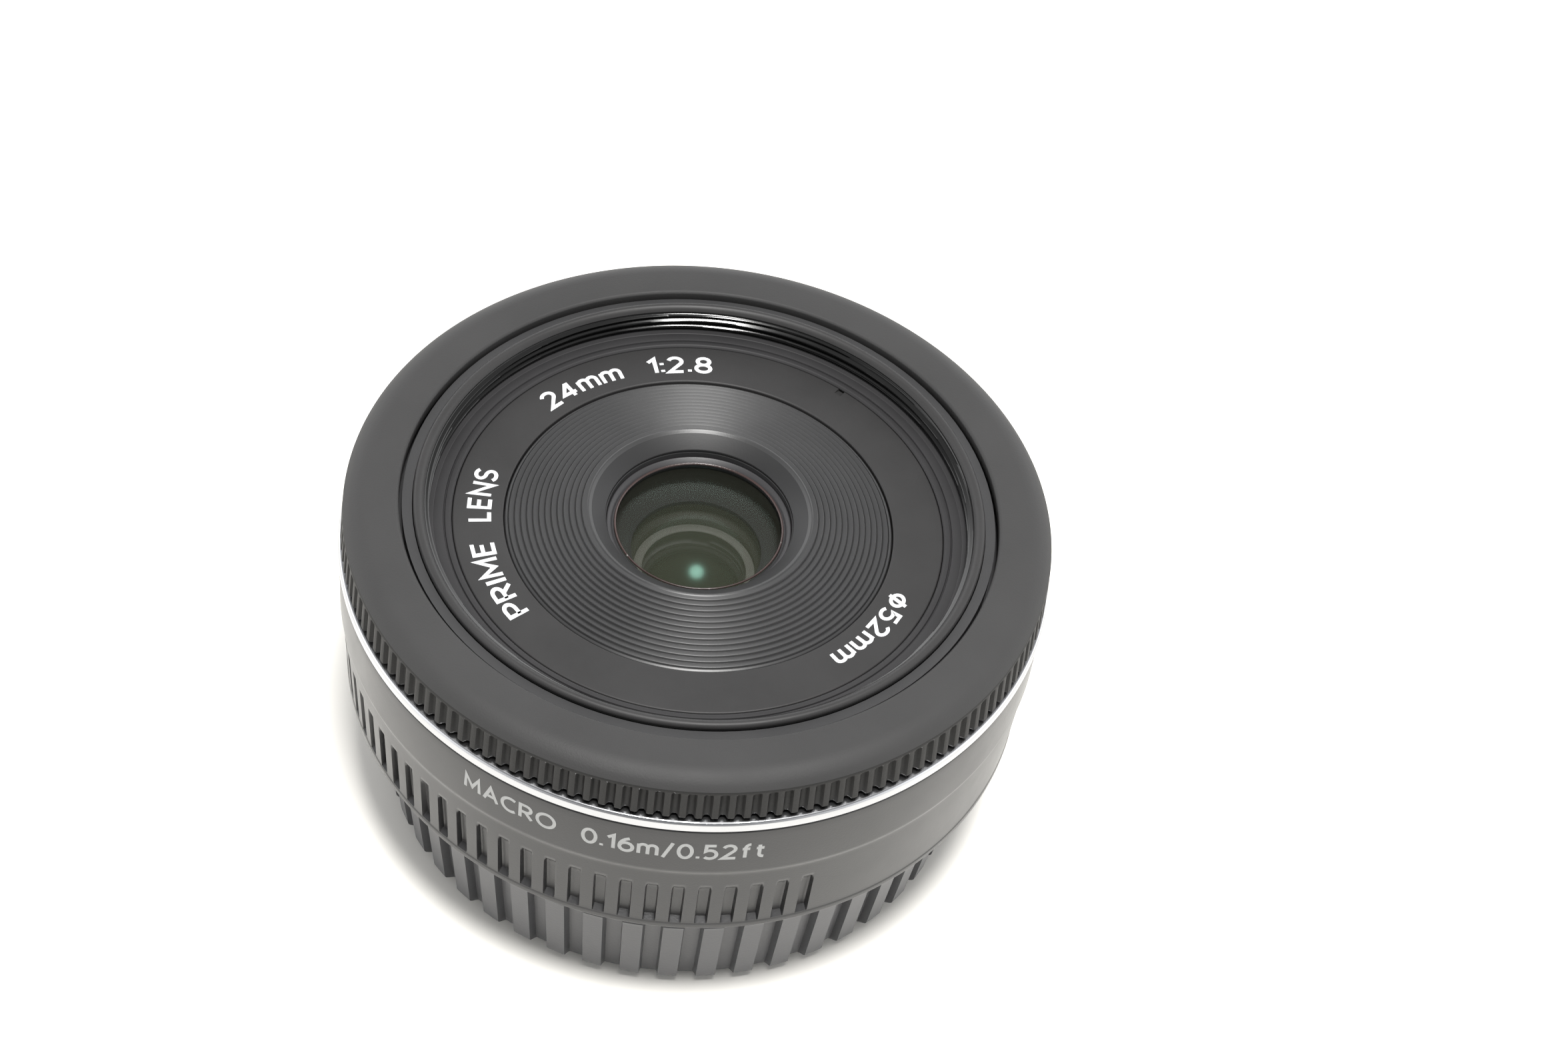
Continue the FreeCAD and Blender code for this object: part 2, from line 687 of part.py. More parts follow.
def cell_screws():
    """Screws that hold the rear cell against the moving barrel."""
    screws = []
    for p in screw_points(18.2, 0, CELL_SCREWS):
        head = post(0.75, 23.2, 23.7, p)
        screws.append(joined(head, [post(0.5, 23.5, 25.3, p)]))
    return screws


def doublet_retainer():
    """Ring that holds the cemented pair."""
    return ring(5.3, 6.2, 24.32, 24.68)


def rear_spacer():
    """Ring between the two rear elements."""
    return turned([(6.85, 18.4), (7.35, 18.56), (7.35, 18.94), (6.85, 18.9)])


def rear_retainer():
    """Threaded ring that holds the rear element."""
    return turned([(8.2, 16.1), (9.0, 16.1), (9.0, 17.3), (8.2, 17.0)])


# Iris

def iris_housing():
    """Cup that carries the blade pivots, open where the pinion reaches in."""
    floor = ring(4.6, 12.3, 24.75, 25.3)
    rim = ring(11.3, 12.3, 25.2, 26.95)
    window = sector(10.5, 13.5, 25.25, 27.5, IRIS_PINION_ANGLE, 100.0)
    pivots = [post(0.34, 24.5, 26, point(BLADE_PIVOT_R, a, 0)) for a in every(BLADES)]
    return joined(floor, [rim]).cut([window] + pivots)


def iris_cover():
    """Plate over the iris ring."""
    return ring(5.2, 12.3, 26.95, 27.4)


def drive_pin_place(turn):
    """Drive pin centre of the first blade after the blade turns."""
    pivot = point(BLADE_PIVOT_R, 0, 0)
    start = point(BLADE_PIVOT_R, BLADE_DRIVE_ANGLE, 0)
    arm = start - pivot
    a = math.radians(turn)
    x = arm.x * math.cos(a) - arm.y * math.sin(a)
    y = arm.x * math.sin(a) + arm.y * math.cos(a)
    return pivot + FreeCAD.Vector(x, y, 0)


def iris_slot():
    """Cutter of one slot of the iris ring, along the drive pin's path."""
    steps = 12
    half = IRIS_PIN_R + 0.05
    places = []
    for i in range(steps + 1):
        share = i / steps
        place = drive_pin_place(BLADE_TURN * share)
        turn = math.radians(-IRIS_TURN * share)
        x = place.x * math.cos(turn) - place.y * math.sin(turn)
        y = place.x * math.sin(turn) + place.y * math.cos(turn)
        places.append(FreeCAD.Vector(x, y, 0))
    left = []
    right = []
    for i, place in enumerate(places):
        along = places[min(i + 1, steps)] - places[max(i - 1, 0)]
        along.normalize()
        left.append((place.x - along.y * half, place.y + along.x * half))
        right.append((place.x + along.y * half, place.y - along.x * half))
    band = prism(left + right[::-1], 26.0, 28.0)
    return band.fuse([post(half, 26.0, 28.0, places[0]), post(half, 26.0, 28.0, places[-1])])


def iris_ring():
    """Ring whose slots drive the blades, with a toothed arm for the motor."""
    body = ring(5.6, 11.24, IRIS_RING_Z, 26.85)
    slots = around(iris_slot(), every(BLADES))
    arm = sector(11.0, 13.1, IRIS_RING_Z, 26.85, IRIS_PINION_ANGLE - IRIS_TURN / 2, 52.0)
    teeth = toothed_sector(IRIS_TEETH, IRIS_PINION_ANGLE - 16.0, 13, 12.8, IRIS_RING_Z, 26.85)
    return joined(body.cut(slots), [arm, teeth])


def iris_blade():
    """Thin curved blade with its pivot pin and drive pin, lowest level."""
    z0 = BLADE_Z
    z1 = BLADE_Z + BLADE_THICK
    band = ring(BLADE_INNER_R, BLADE_OUTER_R, z0, z1, -7.0, 134.0)
    pivot = point(BLADE_PIVOT_R, 0, 0)
    drive = drive_pin_place(0)
    lug = prism([polar_xy(7.2, -5), polar_xy(9.7, -3.5), polar_xy(9.8, 18.0), polar_xy(7.2, 22)], z0, z1)
    eyes = [post(0.8, z0, z1, pivot), post(0.75, z0, z1, drive)]
    return joined(band, [lug] + eyes)


def save_blades():
    """Blades at separate levels, each with pins of its own length."""
    for i in range(BLADES):
        level = BLADE_PITCH * i
        plate = iris_blade()
        plate.translate(FreeCAD.Vector(0, 0, level))
        pivot = post(IRIS_PIN_R, 24.85, BLADE_Z + level + BLADE_THICK, point(BLADE_PIVOT_R, 0, 0))
        drive = post(IRIS_PIN_R, BLADE_Z + level, 26.8, drive_pin_place(0))
        blade = rotated(joined(plate, [pivot, drive]), 360.0 * i / BLADES)
        save("iris_blade_%d" % (i + 1), blade)


def iris_motor_place():
    """Axis of the iris motor."""
    return point(GEAR_MODULE * (IRIS_TEETH + PINION_TEETH) / 2, IRIS_PINION_ANGLE, 0)


def iris_motor():
    """Small stepping motor beside the rear cell."""
    place = iris_motor_place()
    body = joined(post(2.9, 18.6, 24.4, place), [post(0.9, 24.3, 24.9, place)])
    foot = sector(11.0, 18.6, 23.0, 23.65, IRIS_PINION_ANGLE, 34.0).cut(post(2.8, 22, 25, place))
    return joined(body, [foot]).cut(post(0.35, 19.2, 26, place))


def iris_pinion():
    """Iris motor shaft and its pinion."""
    place = iris_motor_place()
    gap_angle = IRIS_PINION_ANGLE + 180.0 + 180.0 / PINION_TEETH
    return joined(gear(PINION_TEETH, gap_angle, 26.2, 27.0, place), [post(0.3, 19.4, 27.2, place)])


SINGLE_PIECES = (
    rear_cap, outer_barrel, accent_ring, mount_index, bayonet_mount, mount_screws,
    contact_block, contact_pads, contact_screws, rear_baffle, chassis, cam_ring_clip,
    guide_collar, collar_screws, ring_sensor, focus_motor, gear_axle, gear_cover,
    circuit_board, board_chips, switch_plate, switch_board, switch_knob, focus_ring,
    encoder_ring, cam_ring, reduction_gear, motor_pinion, inner_barrel, cam_followers,
    name_ring, front_baffle, front_cell, front_retainer, cell_spacer, rear_cell,
    cell_screws, doublet_retainer, rear_spacer, rear_retainer, iris_housing, iris_cover,
    iris_ring, iris_motor, iris_pinion,
)

os.makedirs("parts", exist_ok=True)
for piece in SINGLE_PIECES:
    save(piece.__name__, piece())
save_elements()
save_blades()
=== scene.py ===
import json
import math

import bmesh
import bpy
import numpy as np
from mathutils import Matrix, Vector

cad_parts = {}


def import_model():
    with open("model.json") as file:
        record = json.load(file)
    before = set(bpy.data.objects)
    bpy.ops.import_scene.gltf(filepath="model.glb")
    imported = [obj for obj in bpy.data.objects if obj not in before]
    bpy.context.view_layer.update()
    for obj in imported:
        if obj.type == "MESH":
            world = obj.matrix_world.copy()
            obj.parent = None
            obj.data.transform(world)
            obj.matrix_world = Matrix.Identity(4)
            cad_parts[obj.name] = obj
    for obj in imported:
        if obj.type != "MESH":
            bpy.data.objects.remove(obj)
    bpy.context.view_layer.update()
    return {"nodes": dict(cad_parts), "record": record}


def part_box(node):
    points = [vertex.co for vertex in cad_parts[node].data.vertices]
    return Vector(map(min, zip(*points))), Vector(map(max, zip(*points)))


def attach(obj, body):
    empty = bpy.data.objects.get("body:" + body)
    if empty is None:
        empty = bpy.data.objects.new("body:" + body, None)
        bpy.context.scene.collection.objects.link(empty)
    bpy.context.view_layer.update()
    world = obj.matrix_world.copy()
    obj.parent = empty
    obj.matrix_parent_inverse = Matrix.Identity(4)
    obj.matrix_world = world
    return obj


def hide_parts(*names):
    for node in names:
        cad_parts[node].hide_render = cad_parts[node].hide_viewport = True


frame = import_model()
nodes = frame["nodes"]
MM = 0.001


def cad_size(name):
    """Outer radius, lowest and highest point of a round CAD node, in millimetres."""
    low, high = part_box(name)
    return round(high[0] / MM, 2), round(low[2] / MM, 2), round(high[2] / MM, 2)


# Sizes and heights of the CAD shells that the detailed shells stand for
FRONT_Z = cad_size("focus_ring")[2]
CAP_TOP = cad_size("rear_cap")[2]
BARREL_R, BARREL_BOTTOM, PARTING_Z = cad_size("outer_barrel")
ACCENT_R, ACCENT_BOTTOM, ACCENT_TOP = cad_size("accent_ring")
NAME_RING_R, NAME_RING_BOTTOM, NAME_RING_Z = cad_size("name_ring")
GROUP_R = cad_size("inner_barrel")[0]


# ---------------------------------------------------------------- mesh tools

LONGEST_ROUNDING = 0.45
END_INSET = 0.92


def smoothstep(low, high, x):
    """0 below low, 1 above high, smooth between."""
    t = np.clip((x - low) / (high - low), 0.0, 1.0)
    return t * t * (3 - 2 * t)


def angle_between(a, centre):
    """Unsigned difference of two angles in degrees."""
    return np.abs((a - centre + 180.0) % 360.0 - 180.0)


def even_angles(count):
    """That many angles round the circle, in degrees."""
    return np.arange(count) * 360.0 / count


def rounded(corners, radius, steps=3):
    """Closed outline with every corner rounded; a corner may give its own radius."""
    points = []
    for i, corner in enumerate(corners):
        here = np.array(corner[:2], float)
        to_before = np.array(corners[i - 1][:2], float) - here
        to_after = np.array(corners[(i + 1) % len(corners)][:2], float) - here
        length_before = np.linalg.norm(to_before)
        length_after = np.linalg.norm(to_after)
        size = corner[2] if len(corner) > 2 else radius
        reach = min(size, length_before * LONGEST_ROUNDING, length_after * LONGEST_ROUNDING)
        if reach == 0:
            points.append(tuple(here))
            continue
        start = here + to_before / length_before * reach
        end = here + to_after / length_after * reach
        for k in range(steps + 1):
            t = k / steps
            point = (1 - t) ** 2 * start + 2 * t * (1 - t) * here + t * t * end
            points.append((float(point[0]), float(point[1])))
    return points


def densified(points, longest, zone):
    """Closed outline with the long edges divided where zone(r, z) holds at their middle."""
    result = []
    for i, (r0, z0) in enumerate(points):
        r1, z1 = points[(i + 1) % len(points)]
        pieces = 1
        if zone((r0 + r1) / 2, (z0 + z1) / 2):
            pieces = max(1, math.ceil(math.hypot(r1 - r0, z1 - z0) / longest))
        for k in range(pieces):
            t = k / pieces
            result.append((r0 + (r1 - r0) * t, z0 + (z1 - z0) * t))
    return result


def turned(profile, angles, shape=None, skip=None, full=True):
    """Vertices and faces of a closed outline turned about the axis.

    shape(r, z, angle) may move points; skip(r, z, angle) marks faces left out."""
    outline = np.array(profile, float)
    angles = np.asarray(angles, float)
    rows = len(angles)
    columns = len(outline)
    r = np.repeat(outline[None, :, 0], rows, 0)
    z = np.repeat(outline[None, :, 1], rows, 0)
    a = np.repeat(angles[:, None], columns, 1)
    if shape:
        r, z = shape(r, z, a)
    radians = np.radians(a)
    points = np.stack([r * np.cos(radians), r * np.sin(radians), z], 2).reshape(-1, 3) * MM
    i = np.arange(rows if full else rows - 1)
    ii, jj = np.meshgrid(i, np.arange(columns), indexing="ij")
    i_next = (ii + 1) % rows
    j_next = (jj + 1) % columns
    quads = np.stack([ii * columns + jj, i_next * columns + jj,
                      i_next * columns + j_next, ii * columns + j_next], 2).reshape(-1, 4)
    if skip:
        centre_r = (outline[:, 0] + np.roll(outline[:, 0], -1)) / 2
        centre_z = (outline[:, 1] + np.roll(outline[:, 1], -1)) / 2
        following = angles[i_next[:, 0]]
        following = np.where(following < angles[i], following + 360.0, following)
        centre_a = (angles[i] + following) / 2
        drop = skip(centre_r[None, :], centre_z[None, :], centre_a[:, None])
        quads = quads[~np.broadcast_to(drop, (len(i), columns)).reshape(-1)]
    return points, quads


def sector_block(r0, r1, z0, z1, a0, a1, bevel=0.12, steps=16):
    """Closed block that is a sector of a ring, with rounded long edges."""
    outline = rounded([(r0, z0), (r1, z0), (r1, z1), (r0, z1)], bevel)
    middle = np.array([(r0 + r1) / 2, (z0 + z1) / 2])
    inset = np.array(outline) * END_INSET + middle * (1 - END_INSET)
    edge = math.degrees(bevel / r1)
    angles = np.concatenate([[a0], np.linspace(a0 + edge, a1 - edge, steps), [a1]])
    points, quads = turned(outline, angles, full=False)
    columns = len(outline)
    last = (len(angles) - 1) * columns
    for first, angle in ((0, a0), (last, a1)):
        radians = math.radians(angle)
        for k, (r, z) in enumerate(inset):
            points[first + k] = (r * math.cos(radians) * MM, r * math.sin(radians) * MM, z * MM)
    faces = quads.tolist()
    faces.append(list(range(columns - 1, -1, -1)))
    faces.append(list(range(last, last + columns)))
    return points, faces


def mesh_object(name, parts, material, sharp=32.0):
    """One object from several (vertices, faces) parts; edges above the sharp angle stay sharp."""
    vertices = []
    faces = []
    for points, polygons in parts:
        offset = len(vertices)
        vertices.extend(np.asarray(points).tolist())
        polygons = polygons.tolist() if isinstance(polygons, np.ndarray) else polygons
        faces.extend([[offset + index for index in polygon] for polygon in polygons])
    mesh = bpy.data.meshes.new(name)
    mesh.from_pydata(vertices, [], faces)
    mesh.validate()
    mesh.polygons.foreach_set("use_smooth", [True] * len(mesh.polygons))
    mesh.set_sharp_from_angle(angle=math.radians(sharp))
    mesh.materials.append(MATERIALS[material])
    thing = bpy.data.objects.new(name, mesh)
    bpy.context.scene.collection.objects.link(thing)
    return thing


def finished(piece, material, zone):
    """Gives another finish to the faces whose centre has zone(r, z) true."""
    index = len(piece.data.materials)
    piece.data.materials.append(MATERIALS[material])
    for polygon in piece.data.polygons:
        centre = polygon.center
        if zone(math.hypot(centre.x, centre.y) / MM, centre.z / MM):
            polygon.material_index = index


def stands_for(piece, body, slot, *replaced):
    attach(piece, body)
    if replaced:
        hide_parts(*replaced)


# ---------------------------------------------------------------- materials

MATERIALS = {}

# Scales of the noise textures, per metre, and the colour of dust
DUST_COLOUR = (0.42, 0.41, 0.40, 1.0)
DUST_SCALE = 2600.0
MARKS_SCALE = 4200.0
RINGS_SCALE = 6000.0
BLOTCH_SCALE = 90.0
TARNISH_SCALE = 140.0
WEAR_SCALE = 1800.0
FILM_SCALE = 260.0


def new_material(name):
    """A new material's node tree and shader; MATERIALS keeps the material."""
    material = bpy.data.materials.new(name)
    material.use_nodes = True
    MATERIALS[name] = material
    return material.node_tree, material.node_tree.nodes["Principled BSDF"]


def add_node(tree, kind, **settings):
    """A node with input defaults or node settings given by name."""
    node = tree.nodes.new(kind)
    for key, value in settings.items():
        if key in node.inputs:
            node.inputs[key].default_value = value
        else:
            setattr(node, key, value)
    return node


def coordinates(tree):
    return add_node(tree, "ShaderNodeTexCoord").outputs["Object"]


def noise(tree, place, scale, detail=2.0, roughness=0.5):
    """Factor of a noise texture at the place."""
    node = add_node(tree, "ShaderNodeTexNoise", Scale=scale, Detail=detail, Roughness=roughness)
    tree.links.new(place, node.inputs["Vector"])
    return node.outputs["Fac"]


def remapped(tree, value, low, high, from_low=0.3, from_high=0.7):
    """The value's range from_low to from_high moved to low to high; noise mostly lies in 0.3 to 0.7."""
    node = add_node(tree, "ShaderNodeMapRange")
    node.inputs["From Min"].default_value = from_low
    node.inputs["From Max"].default_value = from_high
    node.inputs["To Min"].default_value = low
    node.inputs["To Max"].default_value = high
    tree.links.new(value, node.inputs["Value"])
    return node.outputs["Result"]


def ramp(tree, value, stops):
    """Colours between (position, colour) stops."""
    node = add_node(tree, "ShaderNodeValToRGB")
    for element, (position, colour) in zip(node.color_ramp.elements, stops):
        element.position = position
        element.color = (*colour, 1.0)
    tree.links.new(value, node.inputs["Fac"])
    return node.outputs["Color"]


def dusted(tree, place, base, amount):
    """The base colour with pale specks of dust."""
    specks = noise(tree, place, DUST_SCALE, 0.0)
    factor = remapped(tree, specks, 0.0, amount, 0.80, 0.86)
    node = add_node(tree, "ShaderNodeMix", data_type="RGBA")
    tree.links.new(factor, node.inputs["Factor"])
    tree.links.new(base, node.inputs["A"])
    node.inputs["B"].default_value = DUST_COLOUR
    return node.outputs["Result"]


def turning_marks(tree, place, scale):
    """Fine rings left by a lathe: noise that only changes with radius and height."""
    split = add_node(tree, "ShaderNodeSeparateXYZ")
    tree.links.new(place, split.inputs[0])
    flat = add_node(tree, "ShaderNodeCombineXYZ")
    tree.links.new(split.outputs["X"], flat.inputs["X"])
    tree.links.new(split.outputs["Y"], flat.inputs["Y"])
    radius = add_node(tree, "ShaderNodeVectorMath", operation="LENGTH")
    tree.links.new(flat.outputs[0], radius.inputs[0])
    section = add_node(tree, "ShaderNodeCombineXYZ")
    tree.links.new(radius.outputs["Value"], section.inputs["X"])
    tree.links.new(split.outputs["Z"], section.inputs["Y"])
    return noise(tree, section.outputs[0], scale, 3.0, 0.6)


def bump(tree, shader, height, distance, before=None):
    """Relief on the shader's normal, over an earlier relief if one is given."""
    node = add_node(tree, "ShaderNodeBump", Strength=1.0, Distance=distance)
    tree.links.new(height, node.inputs["Height"])
    if before is not None:
        tree.links.new(before, node.inputs["Normal"])
    tree.links.new(node.outputs["Normal"], shader.inputs["Normal"])
    return node.outputs["Normal"]


def shade(colour, factor):
    """The colour made darker or lighter."""
    return tuple(min(1.0, c * factor) for c in colour)


def plastic(name, colour, roughness, grain=5200.0, depth=0.000012, spread=0.12, specular=0.5,
            dust=0.0, marks=0.0, coat=0.0, turned_sheen=0.0):
    """Moulded or painted plastic: fine grain, faint blotches, a little dust.

    depth and marks are the heights in metres of the grain and of the lathe's rings."""
    tree, shader = new_material(name)
    place = coordinates(tree)
    blotch = noise(tree, place, BLOTCH_SCALE, 4.0, 0.6)
    base = ramp(tree, blotch, [(0.3, shade(colour, 1 - spread)), (0.7, shade(colour, 1 + spread))])
    if dust:
        base = dusted(tree, place, base, dust)
    tree.links.new(base, shader.inputs["Base Color"])
    fine = noise(tree, place, grain, 3.0, 0.65)
    rough = remapped(tree, blotch, roughness - 0.05, roughness + 0.05)
    tree.links.new(rough, shader.inputs["Roughness"])
    normal = bump(tree, shader, fine, depth)
    if marks:
        bump(tree, shader, turning_marks(tree, place, MARKS_SCALE), marks, normal)
    shader.inputs["Specular IOR Level"].default_value = specular
    if coat:
        shader.inputs["Coat Weight"].default_value = coat
        shader.inputs["Coat Roughness"].default_value = 0.08
    if turned_sheen:
        round_axis = add_node(tree, "ShaderNodeTangent", direction_type="RADIAL", axis="Z")
        tree.links.new(round_axis.outputs["Tangent"], shader.inputs["Tangent"])
        shader.inputs["Anisotropic"].default_value = turned_sheen
        shader.inputs["Anisotropic Rotation"].default_value = 0.25


def metal(name, colour, roughness, marks=0.000003):
    """Turned or plated metal: rings from the lathe and slight tarnish."""
    tree, shader = new_material(name)
    place = coordinates(tree)
    tarnish = noise(tree, place, TARNISH_SCALE, 5.0, 0.6)
    base = ramp(tree, tarnish, [(0.3, shade(colour, 0.94)), (0.7, shade(colour, 1.024))])
    tree.links.new(base, shader.inputs["Base Color"])
    rings = turning_marks(tree, place, RINGS_SCALE)
    rough = remapped(tree, rings, roughness * 0.75, roughness * 1.3)
    tree.links.new(rough, shader.inputs["Roughness"])
    bump(tree, shader, rings, marks)
    shader.inputs["Metallic"].default_value = 1.0


def paint(name, colour, roughness=0.5):
    """Filled or printed lettering."""
    tree, shader = new_material(name)
    place = coordinates(tree)
    wear = noise(tree, place, WEAR_SCALE, 3.0, 0.6)
    base = ramp(tree, wear, [(0.25, shade(colour, 0.86)), (0.55, colour)])
    tree.links.new(base, shader.inputs["Base Color"])
    rough = remapped(tree, wear, roughness - 0.08, roughness + 0.08)
    tree.links.new(rough, shader.inputs["Roughness"])
    bump(tree, shader, wear, 0.000004)


def coated_glass(name, tint, veil, reflection, ior, level, roughness):
    """Lens with an anti-reflection coating: clear but for a veil of the tint; the veil is painted shade on
    the rear elements and painted reflection on the second element.

    veil is the veil's opacity, and reflection and level are the mirror image's colour and strength."""
    tree, shader = new_material(name)
    place = coordinates(tree)
    film = noise(tree, place, FILM_SCALE)
    base = ramp(tree, film, [(0.3, shade(tint, 0.94)), (0.7, tint)])
    tree.links.new(base, shader.inputs["Base Color"])
    shader.inputs["Roughness"].default_value = roughness
    shader.inputs["Alpha"].default_value = veil
    shader.inputs["IOR"].default_value = ior
    shader.inputs["Specular IOR Level"].default_value = level
    shader.inputs["Specular Tint"].default_value = (*reflection, 1.0)


# Finishes named by the record's material slots
# Rear cap: its grey is partly painted light; the black plastic cap is made lighter to stand in for the floor
# light it catches
plastic("cap_plastic", (0.076, 0.077, 0.081), 0.38, grain=3800.0, depth=0.000016, spread=0.10, specular=0.32)
plastic("barrel_plastic", (0.021, 0.021, 0.022), 0.34, grain=5600.0, spread=0.08, specular=0.42)
plastic("focus_plastic", (0.013, 0.0128, 0.0125), 0.55, depth=0.000022, spread=0.10, specular=0.25)
plastic("black_plastic", (0.024, 0.024, 0.025), 0.55, spread=0.10)
plastic("gloss_black", (0.010, 0.010, 0.0105), 0.20, grain=4200.0, depth=0.000003, spread=0.08)
metal("bright_metal", (0.50, 0.505, 0.52), 0.20, marks=0.0000008)
metal("mount_metal", (0.34, 0.337, 0.332), 0.24, marks=0.0000022)
metal("screw_steel", (0.24, 0.24, 0.245), 0.30)
metal("steel", (0.32, 0.32, 0.33), 0.28)
metal("spring_steel", (0.28, 0.28, 0.29), 0.32)
metal("brass", (0.42, 0.32, 0.15), 0.28)
metal("contact_gold", (0.50, 0.36, 0.13), 0.20, marks=0.000001)
metal("cam_aluminium", (0.10, 0.10, 0.11), 0.40)
metal("blade_metal", (0.34, 0.34, 0.35), 0.50, marks=0.0000015)
paint("white_mark", (0.52, 0.52, 0.51))
plastic("gear_plastic", (0.40, 0.39, 0.36), 0.45, grain=3000.0, depth=0.000004, spread=0.04)
plastic("board_green", (0.015, 0.12, 0.05), 0.35, grain=2400.0, depth=0.000006, spread=0.14, coat=0.3)
plastic("chip_black", (0.030, 0.030, 0.034), 0.60, grain=6500.0, depth=0.00001, spread=0.08)
# Rear elements: the nearly opaque dark veil is painted shade, standing in for the darkness inside the lens
# behind the front glass
coated_glass("optical_glass", (0.020, 0.022, 0.014), veil=0.80, reflection=(0.85, 1.0, 0.70),
             ior=1.5, level=0.25, roughness=0.22)

for subpart in frame["record"]["subparts"]:
    node = nodes[subpart["node"]]
    node.data.materials.clear()
    node.data.materials.append(MATERIALS[subpart["material_slot"]])

nodes["switch_board"].data.materials[0] = MATERIALS["chip_black"]

# Finishes of the detailed pieces
coated_glass("front_glass", (0.030, 0.030, 0.022), veil=0.24, reflection=(0.50, 1.0, 0.82),
             ior=1.6, level=0.40, roughness=0.18)
# Second element: its pale olive veil is painted reflection, a diffuse haze standing in for reflections off
# the lens surfaces, and partly dust haze; the mirror image itself is kept weak
coated_glass("second_glass_painted_reflection", (0.100, 0.106, 0.068), veil=0.20, reflection=(0.90, 1.0, 0.70),
             ior=1.5, level=0.08, roughness=0.30)
# Stop edge: its light grey is painted highlight, standing in for the bright arc seen in the front glass; the
# stop itself is black plastic
plastic("stop_painted_highlight_grey", (0.30, 0.30, 0.28), 0.42, depth=0.000004, spread=0.10)
plastic("face_black", (0.029, 0.0287, 0.0288), 0.60, grain=5600.0, depth=0.00002, spread=0.08, specular=0.3)
plastic("cup_black", (0.005, 0.005, 0.005), 0.15, grain=4200.0, depth=0.000001, spread=0.08, specular=0.42)
plastic("ledge_grey", (0.022, 0.0215, 0.0225), 0.54, grain=4200.0, depth=0.000004, spread=0.10,
        specular=0.25, marks=0.000002)
plastic("name_black", (0.023, 0.0225, 0.0227), 0.50, grain=4800.0, depth=0.000008, spread=0.10, specular=0.3)
plastic("cone_black", (0.017, 0.017, 0.0175), 0.42, grain=4600.0, depth=0.000004, spread=0.08,
        specular=0.8, turned_sheen=0.72)
plastic("funnel_black", (0.013, 0.013, 0.0135), 0.46, grain=4600.0, depth=0.000004, spread=0.08,
        specular=0.34)
plastic("retainer_grey", (0.026, 0.0255, 0.027), 0.42, grain=4200.0, depth=0.000006, spread=0.10,
        specular=0.4)
plastic("rim_speckle", (0.035, 0.020, 0.018), 0.30, depth=0.00002, spread=0.3, dust=0.5)
paint("letter_white", (0.60, 0.61, 0.62))
paint("letter_grey", (0.30, 0.305, 0.305), 0.42)


# ---------------------------------------------------------------- focus ring

FOCUS_RIBS = 148
FOCUS_RIB_STEPS = 10
RIB_DEPTH = 0.48


def rib_wave(a, count, top, flank):
    """1 on a rib, 0 in a groove; top and flank are shares of half the pitch."""
    phase = np.abs(((a * count / 360.0 + 0.5) % 1.0) - 0.5) * 2
    return 1 - smoothstep(top, top + flank, phase)


def focus_ring_piece():
    """Ribs are left between grooves cut under a smooth shoulder."""
    inner_r = 31.2
    lip_r = 28.4
    lip_z = 36.4
    shoulder_z = 36.42
    side_r = 33.0
    outline = rounded([
        (inner_r, 32.85, 0.05), (33.7, 32.88, 0.06), (33.84, 33.02, 0.08), (33.62, 36.22, 0.04),
        (33.56, shoulder_z, 0.15), (33.05, 36.98, 0.5), (32.3, 37.42, 0.6), (31.6, FRONT_Z, 0.35),
        (lip_r + 0.22, FRONT_Z, 0.1), (lip_r, 37.38, 0.1), (lip_r, lip_z, 0.05), (inner_r, lip_z, 0.05),
    ], 0.1)
    outline = densified(outline, 0.2, lambda r, z: r > side_r and z < 36.3)

    def shape(r, z, a):
        valley = 1 - rib_wave(a, FOCUS_RIBS, 0.34, 0.40)
        side = (r > side_r) & (z < lip_z)
        reach = 1 - smoothstep(35.98, 36.2, z)
        return r - np.where(side, valley * reach * RIB_DEPTH, 0.0), z

    body = turned(outline, even_angles(FOCUS_RIBS * FOCUS_RIB_STEPS), shape)
    piece = mesh_object("focus_grip", [body], "focus_plastic", sharp=50.0)
    finished(piece, "face_black", lambda r, z: z > shoulder_z)
    stands_for(piece, "focus_ring", "focus_plastic", "focus_ring")


def accent_ring_piece():
    """Bright ring between the barrel and the focus ring."""
    outline = rounded([
        (32.5, ACCENT_BOTTOM), (33.86, ACCENT_BOTTOM, 0.03), (ACCENT_R, 31.42, 0.08),
        (ACCENT_R, 32.22, 0.12), (33.9, 32.48, 0.12), (32.5, ACCENT_TOP),
    ], 0.04, 4)
    piece = mesh_object("accent_band", [turned(outline, even_angles(720))], "bright_metal")
    stands_for(piece, "lens_body", "bright_metal", "accent_ring")


# ---------------------------------------------------------------- outer barrel

RIDGE_Z = 25.1
GRIP_TOP = 24.6
LIP_TOP = 16.2
GRIP_PITCH = 360.0 / 88
FRONT_GRIP = (-66.3, 26)
REAR_GRIP = (160.0, 16)
GROOVE_STEPS = 20
GROOVE_DEPTH = 0.60
SWITCH_ANGLE = 25.0
CUTOUT_HALF = 7.62
CUTOUT_BOTTOM = 24.68
CUTOUT_TOP = 30.12
INDEX_ANGLE = 90.0
INDEX_HALF = 1.75
INDEX_Z = 16.9
INDEX_DEPTH = 0.25


def groove_angles():
    """Middle angles of the grip's grooves; each band gives its first groove and their number."""
    centres = []
    for first, count in (FRONT_GRIP, REAR_GRIP):
        centres += [first - GRIP_PITCH * i for i in range(count)]
    return np.array(centres)


